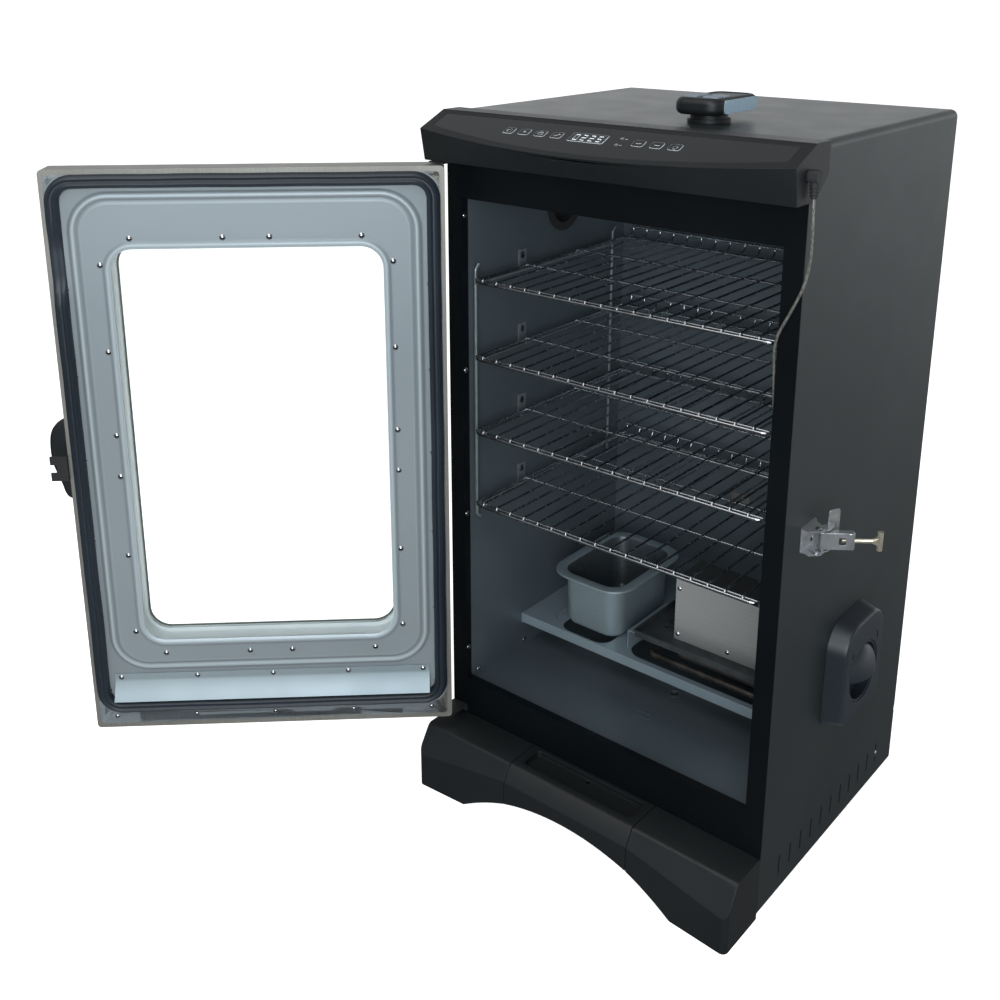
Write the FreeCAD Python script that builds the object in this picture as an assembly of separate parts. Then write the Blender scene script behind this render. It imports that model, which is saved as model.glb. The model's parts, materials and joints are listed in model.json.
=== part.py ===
import FreeCAD, Part

import math
import os

# Electric cabinet smoker, drawn with its door swung open.
# Millimetres. The origin is on the floor under the middle of the cabinet, +X is the viewer's right,
# +Y points to the back and +Z is up. The door parts are built closed and then swung open together.

V = FreeCAD.Vector
X_AXIS = V(1, 0, 0)
Y_AXIS = V(0, 1, 0)
Z_AXIS = V(0, 0, 1)

# Cabinet
HALF_WIDTH = 218.8
FRONT = -178.0
BACK = 178.0
SEAM = 76.0
TOP = 838.0
SHEET = 1.0

# The origin: on the floor under the middle of the whole object's box, with the door standing open.
# The dimensions below are measured from the middle of the cabinet.
ORIGIN_X = -142.2
ORIGIN_Y = -161.8

# Cooking chamber
OPENING_HALF = 197.5
OPENING_LOW = 128.0
OPENING_HIGH = 742.0
CHAMBER_HALF = 198.5
CHAMBER_FLOOR = 121.0
CHAMBER_CEILING = 743.2
CHAMBER_BACK = 150.0
LINER = 0.9
RETURN_DEPTH = 10.0

# Door, as it stands when closed
DOOR_HALF = 219.0
DOOR_LOW = 90.3
DOOR_HIGH = 782.9
DOOR_INNER = -181.2
DOOR_OUTER = -214.6
DOOR_SHEET = 1.0
PANEL_SHEET = 0.8
PANEL_FACE = DOOR_INNER - DOOR_SHEET
PLATEAU_FACE = PANEL_FACE + 3.9
HINGE_X = -211.8
HINGE_Y = -201.3
DOOR_SWING = -136.9
WINDOW_HALF = 149.5
WINDOW_LOW = 212.0
WINDOW_HIGH = 695.0
WINDOW_RADIUS = 25.0
GLASS = 4.0
PANE_INNER_Y = PLATEAU_FACE - PANEL_SHEET - 0.3
PANE_OUTER_Y = DOOR_OUTER + DOOR_SHEET + 0.3
PANE_HALF = 155.0
PANE_LOW = WINDOW_LOW - 5.5
PANE_HIGH = WINDOW_HIGH + 5.5
SEAL_HALF = 158.2
SEAL_MARGIN = SEAL_HALF - PANE_HALF
HANDLE_FRONT = DOOR_OUTER - 18.0
HANDLE_BORE_FLOOR = DOOR_OUTER - 10.0
GASKET_OUTER = 212.8
GASKET_WIDTH = 9.0
GASKET_FACE = FRONT - 0.1
PIN_RADIUS = 3.5
SLEEVE_RADIUS = 5.0
RUNNING_GAP = 0.05

# Racks and the wire frames that carry them
RACK_LEVELS = (645.0, 552.3, 459.7, 367.0)
RACK_HALF = 190.0
RACK_FRONT = -169.0
RACK_BACK = 142.0
FRAME_WIRE = 2.0
GRID_WIRE = 1.25
GRID_COUNT = 18
GRID_PITCH = 20.53
GRID_START = -175.6

# Shelf, water pan, chip housing and chip tray
SHELF_TOP = 169.5
SHELF_FRONT = -65.3
PAN_CENTRE_X = -103.5
CHIP_LEFT = 11.5
CHIP_FRONT = -26.0
CHIP_BACK = 33.0
CHIP_LOW = 194.9
CHIP_HIGH = 277.0
CHIP_RIVETS = ((16.0, 264.0), (16.0, 202.0), (85.0, 203.0))
TRAY_LOW = 193.6
TRAY_RIM = 8.9
TRAY_LEFT = -31.0
TRAY_RIGHT = 190.0
TRAY_FRONT = -52.0
ELEMENT_Z = 161.5
ELEMENT_ENDS = (112.0, 152.0)
ELEMENT_RADIUS = 4.0
SENSOR_X = 0.0
SENSOR_Z = 318.0

# Chip loader through the right wall
LOADER_Y = 2.0
LOADER_Z = 228.0
LOADER_FACE = 241.0
KNOB_RADIUS = 36.0
SCOOP_RADIUS = 25.0

# Exhaust vent through the left wall
VENT_Y = 15.0
VENT_Z = 708.0
VENT_RADIUS = 25.0
VENT_FLANGE = 34.0
DAMPER_HOLES = 4
DAMPER_HOLE_RADIUS = 6.0
DAMPER_PITCH_RADIUS = 16.0

# Control housing across the top of the front
BEZEL_HALF = 223.0
BEZEL_BOTTOM = 786.5
BEZEL_FOOT_Y = -210.3
BEZEL_BROW_Y = -216.7
BEZEL_BROW_Z = 821.8
BEZEL_MIDDLE_Y = -239.0
BEZEL_MIDDLE_Z = 812.0
BEZEL_TOP_Z = 839.2
BEZEL_WALL = 2.5
OVERLAY_HALF = 211.0
OVERLAY_BACK = -185.5
OVERLAY_END_Y = -208.5
OVERLAY_BOW = 23.5
DISPLAY_LEFT = -29.0
DISPLAY_RIGHT = 15.0
DISPLAY_FRONT = -212.0
DISPLAY_BACK = -196.5

# Base
SKIRT_LOW = 7.5
SLOT_COUNT = 11
SLOT_PITCH = 25.9
SLOT_FIRST = -131.1
FOOT_SPLIT = 87.0
FOOT_GAP = 0.5
ARCH_HALF = 148.0
ARCH_RISE = 43.0
FOOT_REAR = -178.3
DRAIN_X = 18.0
DRAIN_Y = -30.0
REAR_FOOT_X = 196.0
REAR_FOOT_Y = 156.0
REAR_FOOT_RADIUS = 15.0

# Draw latch on the right side
LATCH_PIVOT_X = 233.0
LATCH_PIVOT_Y = -131.0
LATCH_Z = 438.5
LATCH_HALF = 13.5
LEVER_REST = 64.0
LINK_REST = 36.0
LINK_OFFSET = 6.0
LINK_REACH = 56.0

# Meat probe lead and power cord
LEAD_RADIUS = 1.45
LEAD_GAP_Y = -179.6
CORD_X = 110.0
CORD_Z = 300.0
CORD_GROMMET = 8.0
PLUG_Y = -190.0
PLUG_Z = 812.0

# Remote control standing on the top
REMOTE_X = 62.0
REMOTE_Y = -76.0
REMOTE_LOW = 847.0
REMOTE_HIGH = 864.0
REMOTE_HALF_X = 27.0
REMOTE_HALF_Y = 46.0
KEY_SPOTS = {"power": (-1, 0), "light": (1, 0), "up": (-1, 1), "down": (1, 1)}
KEY_TOP = REMOTE_HIGH + 1.6


# ---------------------------------------------------------------- shape helpers


def box(x0, x1, y0, y1, z0, z1):
    """A block between two corners."""
    return Part.makeBox(x1 - x0, y1 - y0, z1 - z0, V(x0, y0, z0))


def place(plane, a, b, level):
    """A point given by two in-plane coordinates and the level of the plane."""
    if plane == "xy":
        return V(a, b, level)
    if plane == "xz":
        return V(a, level, b)
    return V(level, a, b)


def normal(plane):
    """The axis that a plane's level is measured along."""
    return {"xy": Z_AXIS, "xz": Y_AXIS, "yz": X_AXIS}[plane]


def rounded_outline(plane, a0, a1, b0, b1, radius, level):
    """A rectangle with round corners, as a closed wire."""
    diagonal = radius * (1 - math.sqrt(0.5))

    def at(a, b):
        return place(plane, a, b, level)

    edges = [
        Part.makeLine(at(a0 + radius, b0), at(a1 - radius, b0)),
        Part.Arc(at(a1 - radius, b0), at(a1 - diagonal, b0 + diagonal), at(a1, b0 + radius)).toShape(),
        Part.makeLine(at(a1, b0 + radius), at(a1, b1 - radius)),
        Part.Arc(at(a1, b1 - radius), at(a1 - diagonal, b1 - diagonal), at(a1 - radius, b1)).toShape(),
        Part.makeLine(at(a1 - radius, b1), at(a0 + radius, b1)),
        Part.Arc(at(a0 + radius, b1), at(a0 + diagonal, b1 - diagonal), at(a0, b1 - radius)).toShape(),
        Part.makeLine(at(a0, b1 - radius), at(a0, b0 + radius)),
        Part.Arc(at(a0, b0 + radius), at(a0 + diagonal, b0 + diagonal), at(a0 + radius, b0)).toShape(),
    ]
    return Part.Wire(edges)


def slab(plane, a0, a1, b0, b1, radius, low, high):
    """A flat plate with round corners between two levels."""
    face = Part.Face(rounded_outline(plane, a0, a1, b0, b1, radius, low))
    return face.extrude(normal(plane) * (high - low))


def ring(plane, a0, a1, b0, b1, radius, width, low, high):
    """A round-cornered picture frame of one band width."""
    outer = slab(plane, a0, a1, b0, b1, radius, low, high)
    inner_radius = max(radius - width, 1.0)
    hole = slab(plane, a0 + width, a1 - width, b0 + width, b1 - width, inner_radius, low, high)
    return outer.cut(hole)


def tapered(plane, start, start_level, end, end_level):
    """A solid that changes from one round-cornered rectangle to another."""
    low = rounded_outline(plane, *start, start_level)
    high = rounded_outline(plane, *end, end_level)
    return Part.makeLoft([low, high], True, True)


def prism(plane, points, low, high):
    """A polygon pushed from one level to another."""
    corners = [place(plane, a, b, low) for a, b in points]
    face = Part.Face(Part.makePolygon(corners + corners[:1]))
    return face.extrude(normal(plane) * (high - low))


def arc(start, middle, end):
    """An arc edge through three points."""
    return Part.Arc(start, middle, end).toShape()


def disc(axis, centre, radius, length):
    """A cylinder that starts at centre and runs along axis."""
    return Part.makeCylinder(radius, length, centre, axis)


def bent_path(points, bend):
    """A wire through points with each corner rounded to one bend radius."""
    edges = []
    start = points[0]
    for before, corner, after in zip(points, points[1:], points[2:]):
        towards = (before - corner).normalize()
        onward = (after - corner).normalize()
        half_angle = towards.getAngle(onward) / 2
        reach = bend / math.tan(half_angle)
        bisector = (towards + onward).normalize()
        centre = corner + bisector * (bend / math.sin(half_angle))
        first = corner + towards * reach
        last = corner + onward * reach
        edges.append(Part.makeLine(start, first))
        edges.append(Part.Arc(first, centre - bisector * bend, last).toShape())
        start = last
    edges.append(Part.makeLine(start, points[-1]))
    return Part.Wire(edges)


def rod(points, radius, bend):
    """A round bar bent along points."""
    path = bent_path(points, bend)
    circle = Part.Circle(points[0], points[1] - points[0], radius).toShape()
    return path.makePipeShell([Part.Wire(circle)], True, True)


def smooth_rod(points, radius):
    """A flexible lead that curves smoothly through points."""
    curve = Part.BSplineCurve()
    curve.interpolate(points)
    path = Part.Wire(curve.toShape())
    circle = Part.Circle(points[0], curve.tangent(0)[0], radius).toShape()
    return path.makePipeShell([Part.Wire(circle)], True, True)


def closed_rod(plane, a0, a1, b0, b1, corner, level, radius):
    """A round bar bent into a closed round-cornered loop."""
    path = rounded_outline(plane, a0, a1, b0, b1, corner, level)
    start = place(plane, a0 + corner, b0, level)
    along = place(plane, 1, 0, 0)
    circle = Part.Circle(start, along, radius).toShape()
    return path.makePipeShell([Part.Wire(circle)], True, True)


def fuse(shapes):
    """One solid from overlapping shapes."""
    return shapes[0].multiFuse(shapes[1:]).removeSplitter()


def cut(shape, tools):
    """A shape with every tool taken away."""
    return shape.cut(Part.makeCompound(tools)) if len(tools) > 1 else shape.cut(tools[0])


def mirrored(shape):
    """The same shape on the other side of the cabinet."""
    return shape.mirror(V(0, 0, 0), X_AXIS)


def pan_head(centre, direction, head_radius, head_height, shank_radius, shank_length):
    """A screw or rivet: a domed head on the surface at centre and a shank behind it."""
    sphere_radius = (head_radius**2 + head_height**2) / (2 * head_height)
    ball = Part.makeSphere(sphere_radius, centre - direction * (sphere_radius - head_height))
    cap = ball.common(disc(direction, centre, head_radius + 1.0, head_height + 1.0))
    shank = disc(direction * -1, centre + direction * 0.05, shank_radius, shank_length)
    return cap.fuse(shank).removeSplitter()


def spread(first, last, count):
    """Evenly spaced values from first to last."""
    return [first + (last - first) * i / (count - 1) for i in range(count)]


def swung(shape):
    """A door part turned about the hinge to the open position."""
    turned = shape.copy()
    turned.rotate(V(HINGE_X, HINGE_Y, 0), Z_AXIS, DOOR_SWING)
    return turned


def latch_turned(shape, angle):
    """A latch part drawn pointing along +X from the lever pivot, turned to its angle."""
    turned = shape.copy()
    turned.rotate(V(LATCH_PIVOT_X, LATCH_PIVOT_Y, 0), Z_AXIS, angle)
    return turned


# ---------------------------------------------------------------- shared hole positions

FLANGE_SCREW_Z = (721.0, 537.0, 353.0, 169.0)
FLANGE_SCREW_Y = -173.0
WALL_SCREWS = ((-152.9, 127.5), (-59.3, 127.5), (10.7, 162.6))
SUPPORT_SCREW_Y = -68.0
SUPPORT_SCREW_RISE = 12.0
SHANK = 1.6
SHANK_HOLE = 1.7
BORDER_SCREW_X = 200.5
BORDER_SCREW_Z = spread(142.0, 751.6, 7)
ROW_SCREW_X = spread(-193.6, 193.6, 5)
ROW_SCREW_Z = (105.8, 130.0)
RIVET_SIDE_X = 160.5
RIVET_SIDE_Z = (223.9, 325.3, 426.3, 476.9, 577.3, 677.5)
RIVET_ROW_X = (-126.5, -25.5, 25.5, 126.5)
RIVET_ROW_Z = (193.7, 707.0)
LIP_RIVET_X = spread(-184.0, 184.0, 5)
LIP_RIVET_Z = 160.0
HANDLE_SCREW_Z = (405.0, 459.0)
HANDLE_SCREW_X = 202.0
STRIKE_RIVETS = ((-199.0, 431.5), (-199.0, 445.5))
LATCH_RIVETS = ((-117.0, 431.5), (-117.0, 445.5))
BACK_SCREW_Z = spread(100.0, 815.0, 5)
BACK_SCREW_X = 210.0


# ---------------------------------------------------------------- cabinet sheet metal


def shell_profile(inset):
    """The arch outline of the outer wrap, seen from the front, set in by inset."""
    half = HALF_WIDTH - inset
    top = TOP - inset
    radius = 8.0 - inset
    diagonal = radius * (1 - math.sqrt(0.5))
    low = SEAM + 0.1

    def at(x, z):
        return V(x, FRONT + SHEET, z)

    edges = [
        Part.makeLine(at(-half, low), at(-half, top - radius)),
        arc(at(-half, top - radius), at(-half + diagonal, top - diagonal), at(-half + radius, top)),
        Part.makeLine(at(-half + radius, top), at(half - radius, top)),
        arc(at(half - radius, top), at(half - diagonal, top - diagonal), at(half, top - radius)),
        Part.makeLine(at(half, top - radius), at(half, low)),
        Part.makeLine(at(half, low), at(-half, low)),
    ]
    return Part.Face(Part.Wire(edges))


def outer_shell():
    """Powder-coated wrap: left side, top and right side in one bent sheet, with inward edge flanges."""
    depth = BACK - FRONT - 2 * SHEET
    flange = 10.0
    wrap = shell_profile(0).extrude(V(0, depth, 0))
    hollow = shell_profile(SHEET).extrude(V(0, depth, 0))
    wrap = wrap.cut(hollow)
    inner = HALF_WIDTH - SHEET
    flanges = []
    for y0 in (FRONT + SHEET, BACK - 2 * SHEET):
        flanges.append(box(-inner - 0.5, -inner + flange, y0, y0 + SHEET, SEAM + 4, TOP - 12))
        flanges.append(box(inner - flange, inner + 0.5, y0, y0 + SHEET, SEAM + 4, TOP - 12))
    shell = fuse([wrap] + flanges)
    holes = [
        disc(X_AXIS, V(-HALF_WIDTH - 1, VENT_Y, VENT_Z), VENT_RADIUS + 1.0, 3.0),
        disc(X_AXIS, V(HALF_WIDTH - 2, LOADER_Y, LOADER_Z), SCOOP_RADIUS + 2.0, 3.0),
    ]
    for y, z in LATCH_RIVETS:
        holes.append(disc(X_AXIS, V(HALF_WIDTH - 2, y, z), SHANK_HOLE, 3.0))
    for x in (-BACK_SCREW_X, BACK_SCREW_X):
        for z in BACK_SCREW_Z:
            holes.append(disc(Y_AXIS, V(x, BACK - 3, z), SHANK_HOLE, 3.0))
    return cut(shell, holes)


def back_panel():
    """Rear closing sheet with a cord hole and a row of screws down each side."""
    panel = slab("xz", -HALF_WIDTH, HALF_WIDTH, SEAM + 0.1, TOP, 8.0, BACK - SHEET, BACK)
    pressing = ring("xz", -170, 170, 150, 770, 20, 10, BACK, BACK + 0.8)
    holes = [disc(Y_AXIS, V(CORD_X, BACK - 2, CORD_Z), CORD_GROMMET, 5.0)]
    for x in (-BACK_SCREW_X, BACK_SCREW_X):
        for z in BACK_SCREW_Z:
            holes.append(disc(Y_AXIS, V(x, BACK - 2, z), SHANK_HOLE, 4.0))
    return cut(panel.fuse(pressing).removeSplitter(), holes)


def front_frame():
    """Flat front frame with flanges that turn back into the chamber opening."""
    plate = slab("xz", -HALF_WIDTH, HALF_WIDTH, SEAM + 1.0, TOP, 8.0, FRONT, FRONT + SHEET)
    collar_outer = box(
        -OPENING_HALF - SHEET, OPENING_HALF + SHEET,
        FRONT, FRONT + RETURN_DEPTH,
        OPENING_LOW - SHEET, OPENING_HIGH + SHEET,
    )
    opening = box(
        -OPENING_HALF, OPENING_HALF, FRONT - 1, FRONT + RETURN_DEPTH + 1, OPENING_LOW, OPENING_HIGH
    )
    frame = plate.fuse(collar_outer).cut(opening).removeSplitter()
    holes = []
    for z in FLANGE_SCREW_Z:
        holes.append(disc(X_AXIS, V(-OPENING_HALF - 2, FLANGE_SCREW_Y, z), SHANK_HOLE, 3.0))
        holes.append(disc(X_AXIS, V(OPENING_HALF - 1, FLANGE_SCREW_Y, z), SHANK_HOLE, 3.0))
    return cut(frame, holes)


def inner_liner():
    """Welded chamber box, open to the front, with a drawn drain spout in the floor."""
    front = FRONT + SHEET + 0.1
    outer = box(
        -CHAMBER_HALF - LINER, CHAMBER_HALF + LINER,
        front, CHAMBER_BACK + LINER,
        CHAMBER_FLOOR - LINER, CHAMBER_CEILING + LINER,
    )
    hollow = box(-CHAMBER_HALF, CHAMBER_HALF, front, CHAMBER_BACK, CHAMBER_FLOOR, CHAMBER_CEILING)
    upstand = box(
        -CHAMBER_HALF - LINER, CHAMBER_HALF + LINER,
        front, front + LINER,
        CHAMBER_FLOOR - LINER, OPENING_LOW - SHEET,
    )
    spout = disc(Z_AXIS, V(DRAIN_X, DRAIN_Y, SEAM - 6), 6.0, CHAMBER_FLOOR - LINER / 2 - SEAM + 6)
    dish = disc(Z_AXIS, V(DRAIN_X, DRAIN_Y, CHAMBER_FLOOR - 0.1), 9.0, 0.5)
    bead = ring("xy", 1, 25, -99, -87, 5, 2, CHAMBER_FLOOR - 0.1, CHAMBER_FLOOR + 0.5)
    liner = fuse([outer.cut(hollow), upstand, spout, dish, bead])
    holes = [
        disc(Z_AXIS, V(DRAIN_X, DRAIN_Y, SEAM - 7), 5.0, 60.0),
        disc(X_AXIS, V(-CHAMBER_HALF - 2, VENT_Y, VENT_Z), VENT_RADIUS + 1.0, 3.0),
        disc(X_AXIS, V(CHAMBER_HALF - 1, LOADER_Y, LOADER_Z), SCOOP_RADIUS + 2.0, 3.0),
        disc(Y_AXIS, V(SENSOR_X, CHAMBER_BACK - 1, SENSOR_Z), 3.2, 3.0),
    ]
    for x in ELEMENT_ENDS:
        holes.append(disc(Y_AXIS, V(x, CHAMBER_BACK - 1, ELEMENT_Z), 5.0, 3.0))
    for side in (-1, 1):
        wall = side * CHAMBER_HALF - (2 if side < 0 else 1)
        for z in FLANGE_SCREW_Z:
            holes.append(disc(X_AXIS, V(wall, FLANGE_SCREW_Y, z), SHANK_HOLE, 3.0))
        for y, z in WALL_SCREWS:
            holes.append(disc(X_AXIS, V(wall, y, z), SHANK_HOLE, 3.0))
        for level in RACK_LEVELS:
            holes.append(disc(X_AXIS, V(wall, SUPPORT_SCREW_Y, level + SUPPORT_SCREW_RISE), SHANK_HOLE, 3.0))
    return cut(liner, holes)


def cabinet_insulation():
    """Mineral wool that fills the gap between the chamber and the outer sheets."""
    gap = 0.8
    screw_room = 3.0
    outer = box(
        -HALF_WIDTH + SHEET + gap, HALF_WIDTH - SHEET - gap,
        FRONT + 12, BACK - 2 * SHEET - gap - 3,
        SEAM + 4, TOP - SHEET - gap,
    ).common(slab("xz", -216, 216, SEAM + 2, TOP - 2, 9.0, FRONT, BACK))
    reach = CHAMBER_HALF + LINER + screw_room
    core = box(
        -reach, reach, FRONT, CHAMBER_BACK + LINER + gap, CHAMBER_FLOOR - LINER - gap,
        CHAMBER_CEILING + LINER + gap,
    )
    holes = [
        core,
        disc(Z_AXIS, V(DRAIN_X, DRAIN_Y, SEAM), 7.0, 60.0),
        disc(X_AXIS, V(-HALF_WIDTH, VENT_Y, VENT_Z), VENT_RADIUS + 2.0, 40.0),
        disc(X_AXIS, V(HALF_WIDTH - 30, LOADER_Y, LOADER_Z), SCOOP_RADIUS + 3.0, 40.0),
        disc(Y_AXIS, V(CORD_X, CHAMBER_BACK, CORD_Z), 22.0, 40.0),
        box(60, 200, CHAMBER_BACK, BACK, ELEMENT_Z - 20, ELEMENT_Z + 20),
        disc(Y_AXIS, V(SENSOR_X, CHAMBER_BACK, SENSOR_Z), 9.0, 40.0),
    ]
    for y, z in LATCH_RIVETS:
        holes.append(disc(X_AXIS, V(HALF_WIDTH - 8, y, z), 5.0, 10.0))
    for x in (-BACK_SCREW_X, BACK_SCREW_X):
        for z in BACK_SCREW_Z:
            holes.append(disc(Y_AXIS, V(x, BACK - 12, z), 4.0, 12.0))
    return cut(outer, holes)


def bottom_plate():
    """Plate that closes the cabinet from below, with two rails for the drip tray."""
    plate = box(-HALF_WIDTH + 1.2, HALF_WIDTH - 1.2, FRONT + 2.2, BACK - 2.2, SEAM, SEAM + 1.2)
    hole = disc(Z_AXIS, V(DRAIN_X, DRAIN_Y, SEAM - 1), 6.3, 4.0)
    parts = [plate.cut(hole)]
    for side in (-1, 1):
        hanger = box(84.5, 85.7, -150, 30, 60, SEAM + 0.2)
        ledge = box(79, 85.7, -150, 30, 60, 61.2)
        rail = hanger.fuse(ledge).removeSplitter()
        parts.append(rail if side > 0 else mirrored(rail))
    return fuse(parts)


def base_skirt():
    """Slotted sheet skirt around the left, back and right of the base."""
    thickness = 1.2
    outer = box(-HALF_WIDTH, HALF_WIDTH, FRONT, BACK, SKIRT_LOW, SEAM)
    inner = box(
        -HALF_WIDTH + thickness, HALF_WIDTH - thickness, FRONT - 1, BACK - thickness, SKIRT_LOW - 1, SEAM + 1
    )
    top_ring = box(-HALF_WIDTH, HALF_WIDTH, FRONT, BACK, SEAM - thickness, SEAM - 0.05)
    top_hole = box(-HALF_WIDTH + 14, HALF_WIDTH - 14, FRONT - 1, BACK - 14, SEAM - 3, SEAM + 1)
    corner_left = box(-HALF_WIDTH, -HALF_WIDTH + 45, BACK - 45, BACK, SKIRT_LOW, SKIRT_LOW + thickness)
    skirt = fuse([outer.cut(inner), top_ring.cut(top_hole), corner_left, mirrored(corner_left)])
    slots = []
    for i in range(SLOT_COUNT):
        y = SLOT_FIRST + SLOT_PITCH * i
        slot = slab("yz", y - 1.6, y + 1.6, 26.8, 53.8, 1.5, -HALF_WIDTH - 1, HALF_WIDTH + 1)
        slots.append(slot)
    for x in spread(-130, 130, 11):
        slots.append(slab("xz", x - 1.6, x + 1.6, 26.8, 53.8, 1.5, BACK - 3, BACK + 1))
    for side in (-1, 1):
        slots.append(disc(Z_AXIS, V(side * REAR_FOOT_X, REAR_FOOT_Y, SKIRT_LOW - 1), 4.1, 5.0))
    return cut(skirt, slots)




def rear_feet():
    """Two plastic feet plugged into the rear corners of the skirt."""
    feet = []
    for side in (-1, 1):
        centre = V(side * REAR_FOOT_X, REAR_FOOT_Y, 0)
        pad = Part.makeCone(REAR_FOOT_RADIUS - 2, REAR_FOOT_RADIUS, SKIRT_LOW, centre, Z_AXIS)
        stem = disc(Z_AXIS, centre + V(0, 0, SKIRT_LOW - 1), 4.0, 8.0)
        feet.append(pad.fuse(stem).removeSplitter())
    return Part.makeCompound(feet)


# ---------------------------------------------------------------- moulded feet and drip tray


def foot_section(x, flare, inset):
    """The side outline of the plinth at x. flare is 0 at the middle joint and 1 at the outer end."""
    crease_y = -237.5 - 9.0 * flare + inset
    crease_z = 60.0 - 17.0 * flare
    ridge_z = 79.0 - 1.5 * flare - inset
    points = [
        V(x, FOOT_REAR, inset),
        V(x, FOOT_REAR, ridge_z),
        V(x, -222.5 + inset * 0.6, ridge_z),
        V(x, -226.5 + inset * 0.8, ridge_z - 2.0),
        V(x, crease_y, crease_z),
        V(x, crease_y, inset),
    ]
    return Part.makePolygon(points + points[:1])


def arch_cutter():
    """The round arch under the middle of the plinth."""
    radius = (ARCH_HALF**2 + ARCH_RISE**2) / (2 * ARCH_RISE)
    return disc(Y_AXIS, V(0, -270, ARCH_RISE - radius), radius, 100)


def front_foot():
    """The right front foot: a hollow moulding open to the back."""
    wall = 3.0
    inner_x = FOOT_SPLIT + FOOT_GAP
    outer_x = HALF_WIDTH
    body = Part.makeLoft([foot_section(inner_x, 0, 0), foot_section(outer_x, 1, 0)], True, True)
    body = body.makeFillet(7.0, [edge for edge in body.Edges if is_outer_front_edge(edge)])
    hollow = Part.makeLoft(
        [foot_section(inner_x + wall, 0, wall), foot_section(outer_x - wall, 1, wall)], True, True
    )
    web = box(150, 153, FOOT_REAR - 40, FOOT_REAR, wall - 1, 72)
    return body.cut(hollow.cut(web)).cut(arch_cutter())


def is_outer_front_edge(edge):
    """True for the upright edge at the outer front corner of the foot."""
    ends = [vertex.Point for vertex in edge.Vertexes]
    upright = all(abs(p.x - HALF_WIDTH) < 0.01 and p.y < -240 for p in ends)
    return upright and abs(ends[0].z - ends[1].z) > 20


def drip_tray():
    """Slide-out tray: the middle of the plinth with a shallow catch on top and a long pan behind."""
    wall = 3.0
    half = FOOT_SPLIT - FOOT_GAP
    front = Part.makeLoft([foot_section(-half, 0, 0), foot_section(half, 0, 0)], True, True)
    hollow = Part.makeLoft(
        [foot_section(-half + wall, 0, wall), foot_section(half - wall, 0, wall)], True, True
    )
    fascia = front.cut(hollow).cut(arch_cutter())
    roof = disc(Y_AXIS, V(0, FOOT_REAR - 58, ARCH_RISE - 276), 279, 58)
    roof = roof.cut(disc(Y_AXIS, V(0, FOOT_REAR - 59, ARCH_RISE - 276), 276.5, 60))
    catch_floor = slab("xy", -78, 78, -216, -181.5, 8, 70.5, 76.5)
    catch = slab("xy", -76, 76, -214, -183.5, 6, 73, 80)
    pan = box(-77, 77, FOOT_REAR - 1, 22, 47, 63)
    pan_hollow = box(-75.5, 75.5, FOOT_REAR + 1, 20.5, 48.5, 64)
    flange = box(-83, 83, FOOT_REAR + 1, 22, 61.4, 63).cut(box(-76, 76, FOOT_REAR, 21, 60, 64))
    roof = roof.common(box(-half + 1, half - 1, FOOT_REAR - 58, FOOT_REAR, 20, 60))
    back_wall = box(-half + 1, half - 1, FOOT_REAR - 2, FOOT_REAR, ARCH_RISE + 1, 77)
    tray = fuse([fascia, roof, back_wall, catch_floor, pan.cut(pan_hollow), flange])
    drain = disc(Z_AXIS, V(0, -187.5, 68), 2.5, 10)
    return cut(tray, [catch, drain])


# ---------------------------------------------------------------- control housing


def bezel_solid(drop, inset):
    """The overhanging control housing: its brow bows forward between straight top and bottom edges."""
    half = BEZEL_HALF - inset
    bottom = BEZEL_BOTTOM + inset
    foot = V(0, BEZEL_FOOT_Y + inset, bottom)
    brow_end = V(0, BEZEL_BROW_Y + inset, BEZEL_BROW_Z - drop)
    brow_middle = V(0, BEZEL_MIDDLE_Y + inset, BEZEL_MIDDLE_Z - drop)
    back_top = V(0, FRONT - 0.1, BEZEL_TOP_Z - drop)
    back_low = V(0, FRONT - 0.1, bottom)
    left = V(-half, 0, 0)
    right = V(half, 0, 0)
    brow = Part.Arc(brow_end + left, brow_middle, brow_end + right).toShape()
    top_edge = Part.makeLine(back_top + left, back_top + right)
    foot_edge = Part.makeLine(foot + left, foot + right)
    faces = [Part.makeRuledSurface(brow, top_edge), Part.makeRuledSurface(foot_edge, brow)]
    for side in (left, right):
        corners = [p + side for p in (back_low, foot, brow_end, back_top)]
        faces.append(Part.Face(Part.makePolygon(corners + corners[:1])))
    for a, b in ((back_low, foot), (back_low, back_top)):
        corners = [a + left, b + left, b + right, a + right]
        faces.append(Part.Face(Part.makePolygon(corners + corners[:1])))
    sewn = Part.makeShell([f for face in faces for f in face.Faces])
    sewn.sewShape()
    solid = Part.makeSolid(sewn)
    solid.fix(0.001, 0.001, 0.001)
    if solid.Volume < 0:
        solid.reverse()
    return solid




def overlay_plan(grow):
    """The plan outline of the touch panel: straight at the back, bowed at the front."""
    half = OVERLAY_HALF + grow
    back = OVERLAY_BACK + grow
    end = OVERLAY_END_Y - grow
    low = BEZEL_BOTTOM + 5
    corners = [V(-half, end, low), V(half, end, low), V(half, back, low), V(-half, back, low)]
    bow = Part.Arc(corners[0], V(0, end - OVERLAY_BOW, low), corners[1]).toShape()
    sides = [Part.makeLine(corners[i], corners[(i + 1) % 4]) for i in (1, 2, 3)]
    return Part.Face(Part.Wire([bow] + sides)).extrude(V(0, 0, 60))


def slope_sheet(top_drop, bottom_drop, grow):
    """A sheet that follows the housing's sloping top between two depths."""
    return bezel_solid(top_drop, 0).common(overlay_plan(grow)).cut(bezel_solid(bottom_drop, 0))


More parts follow.
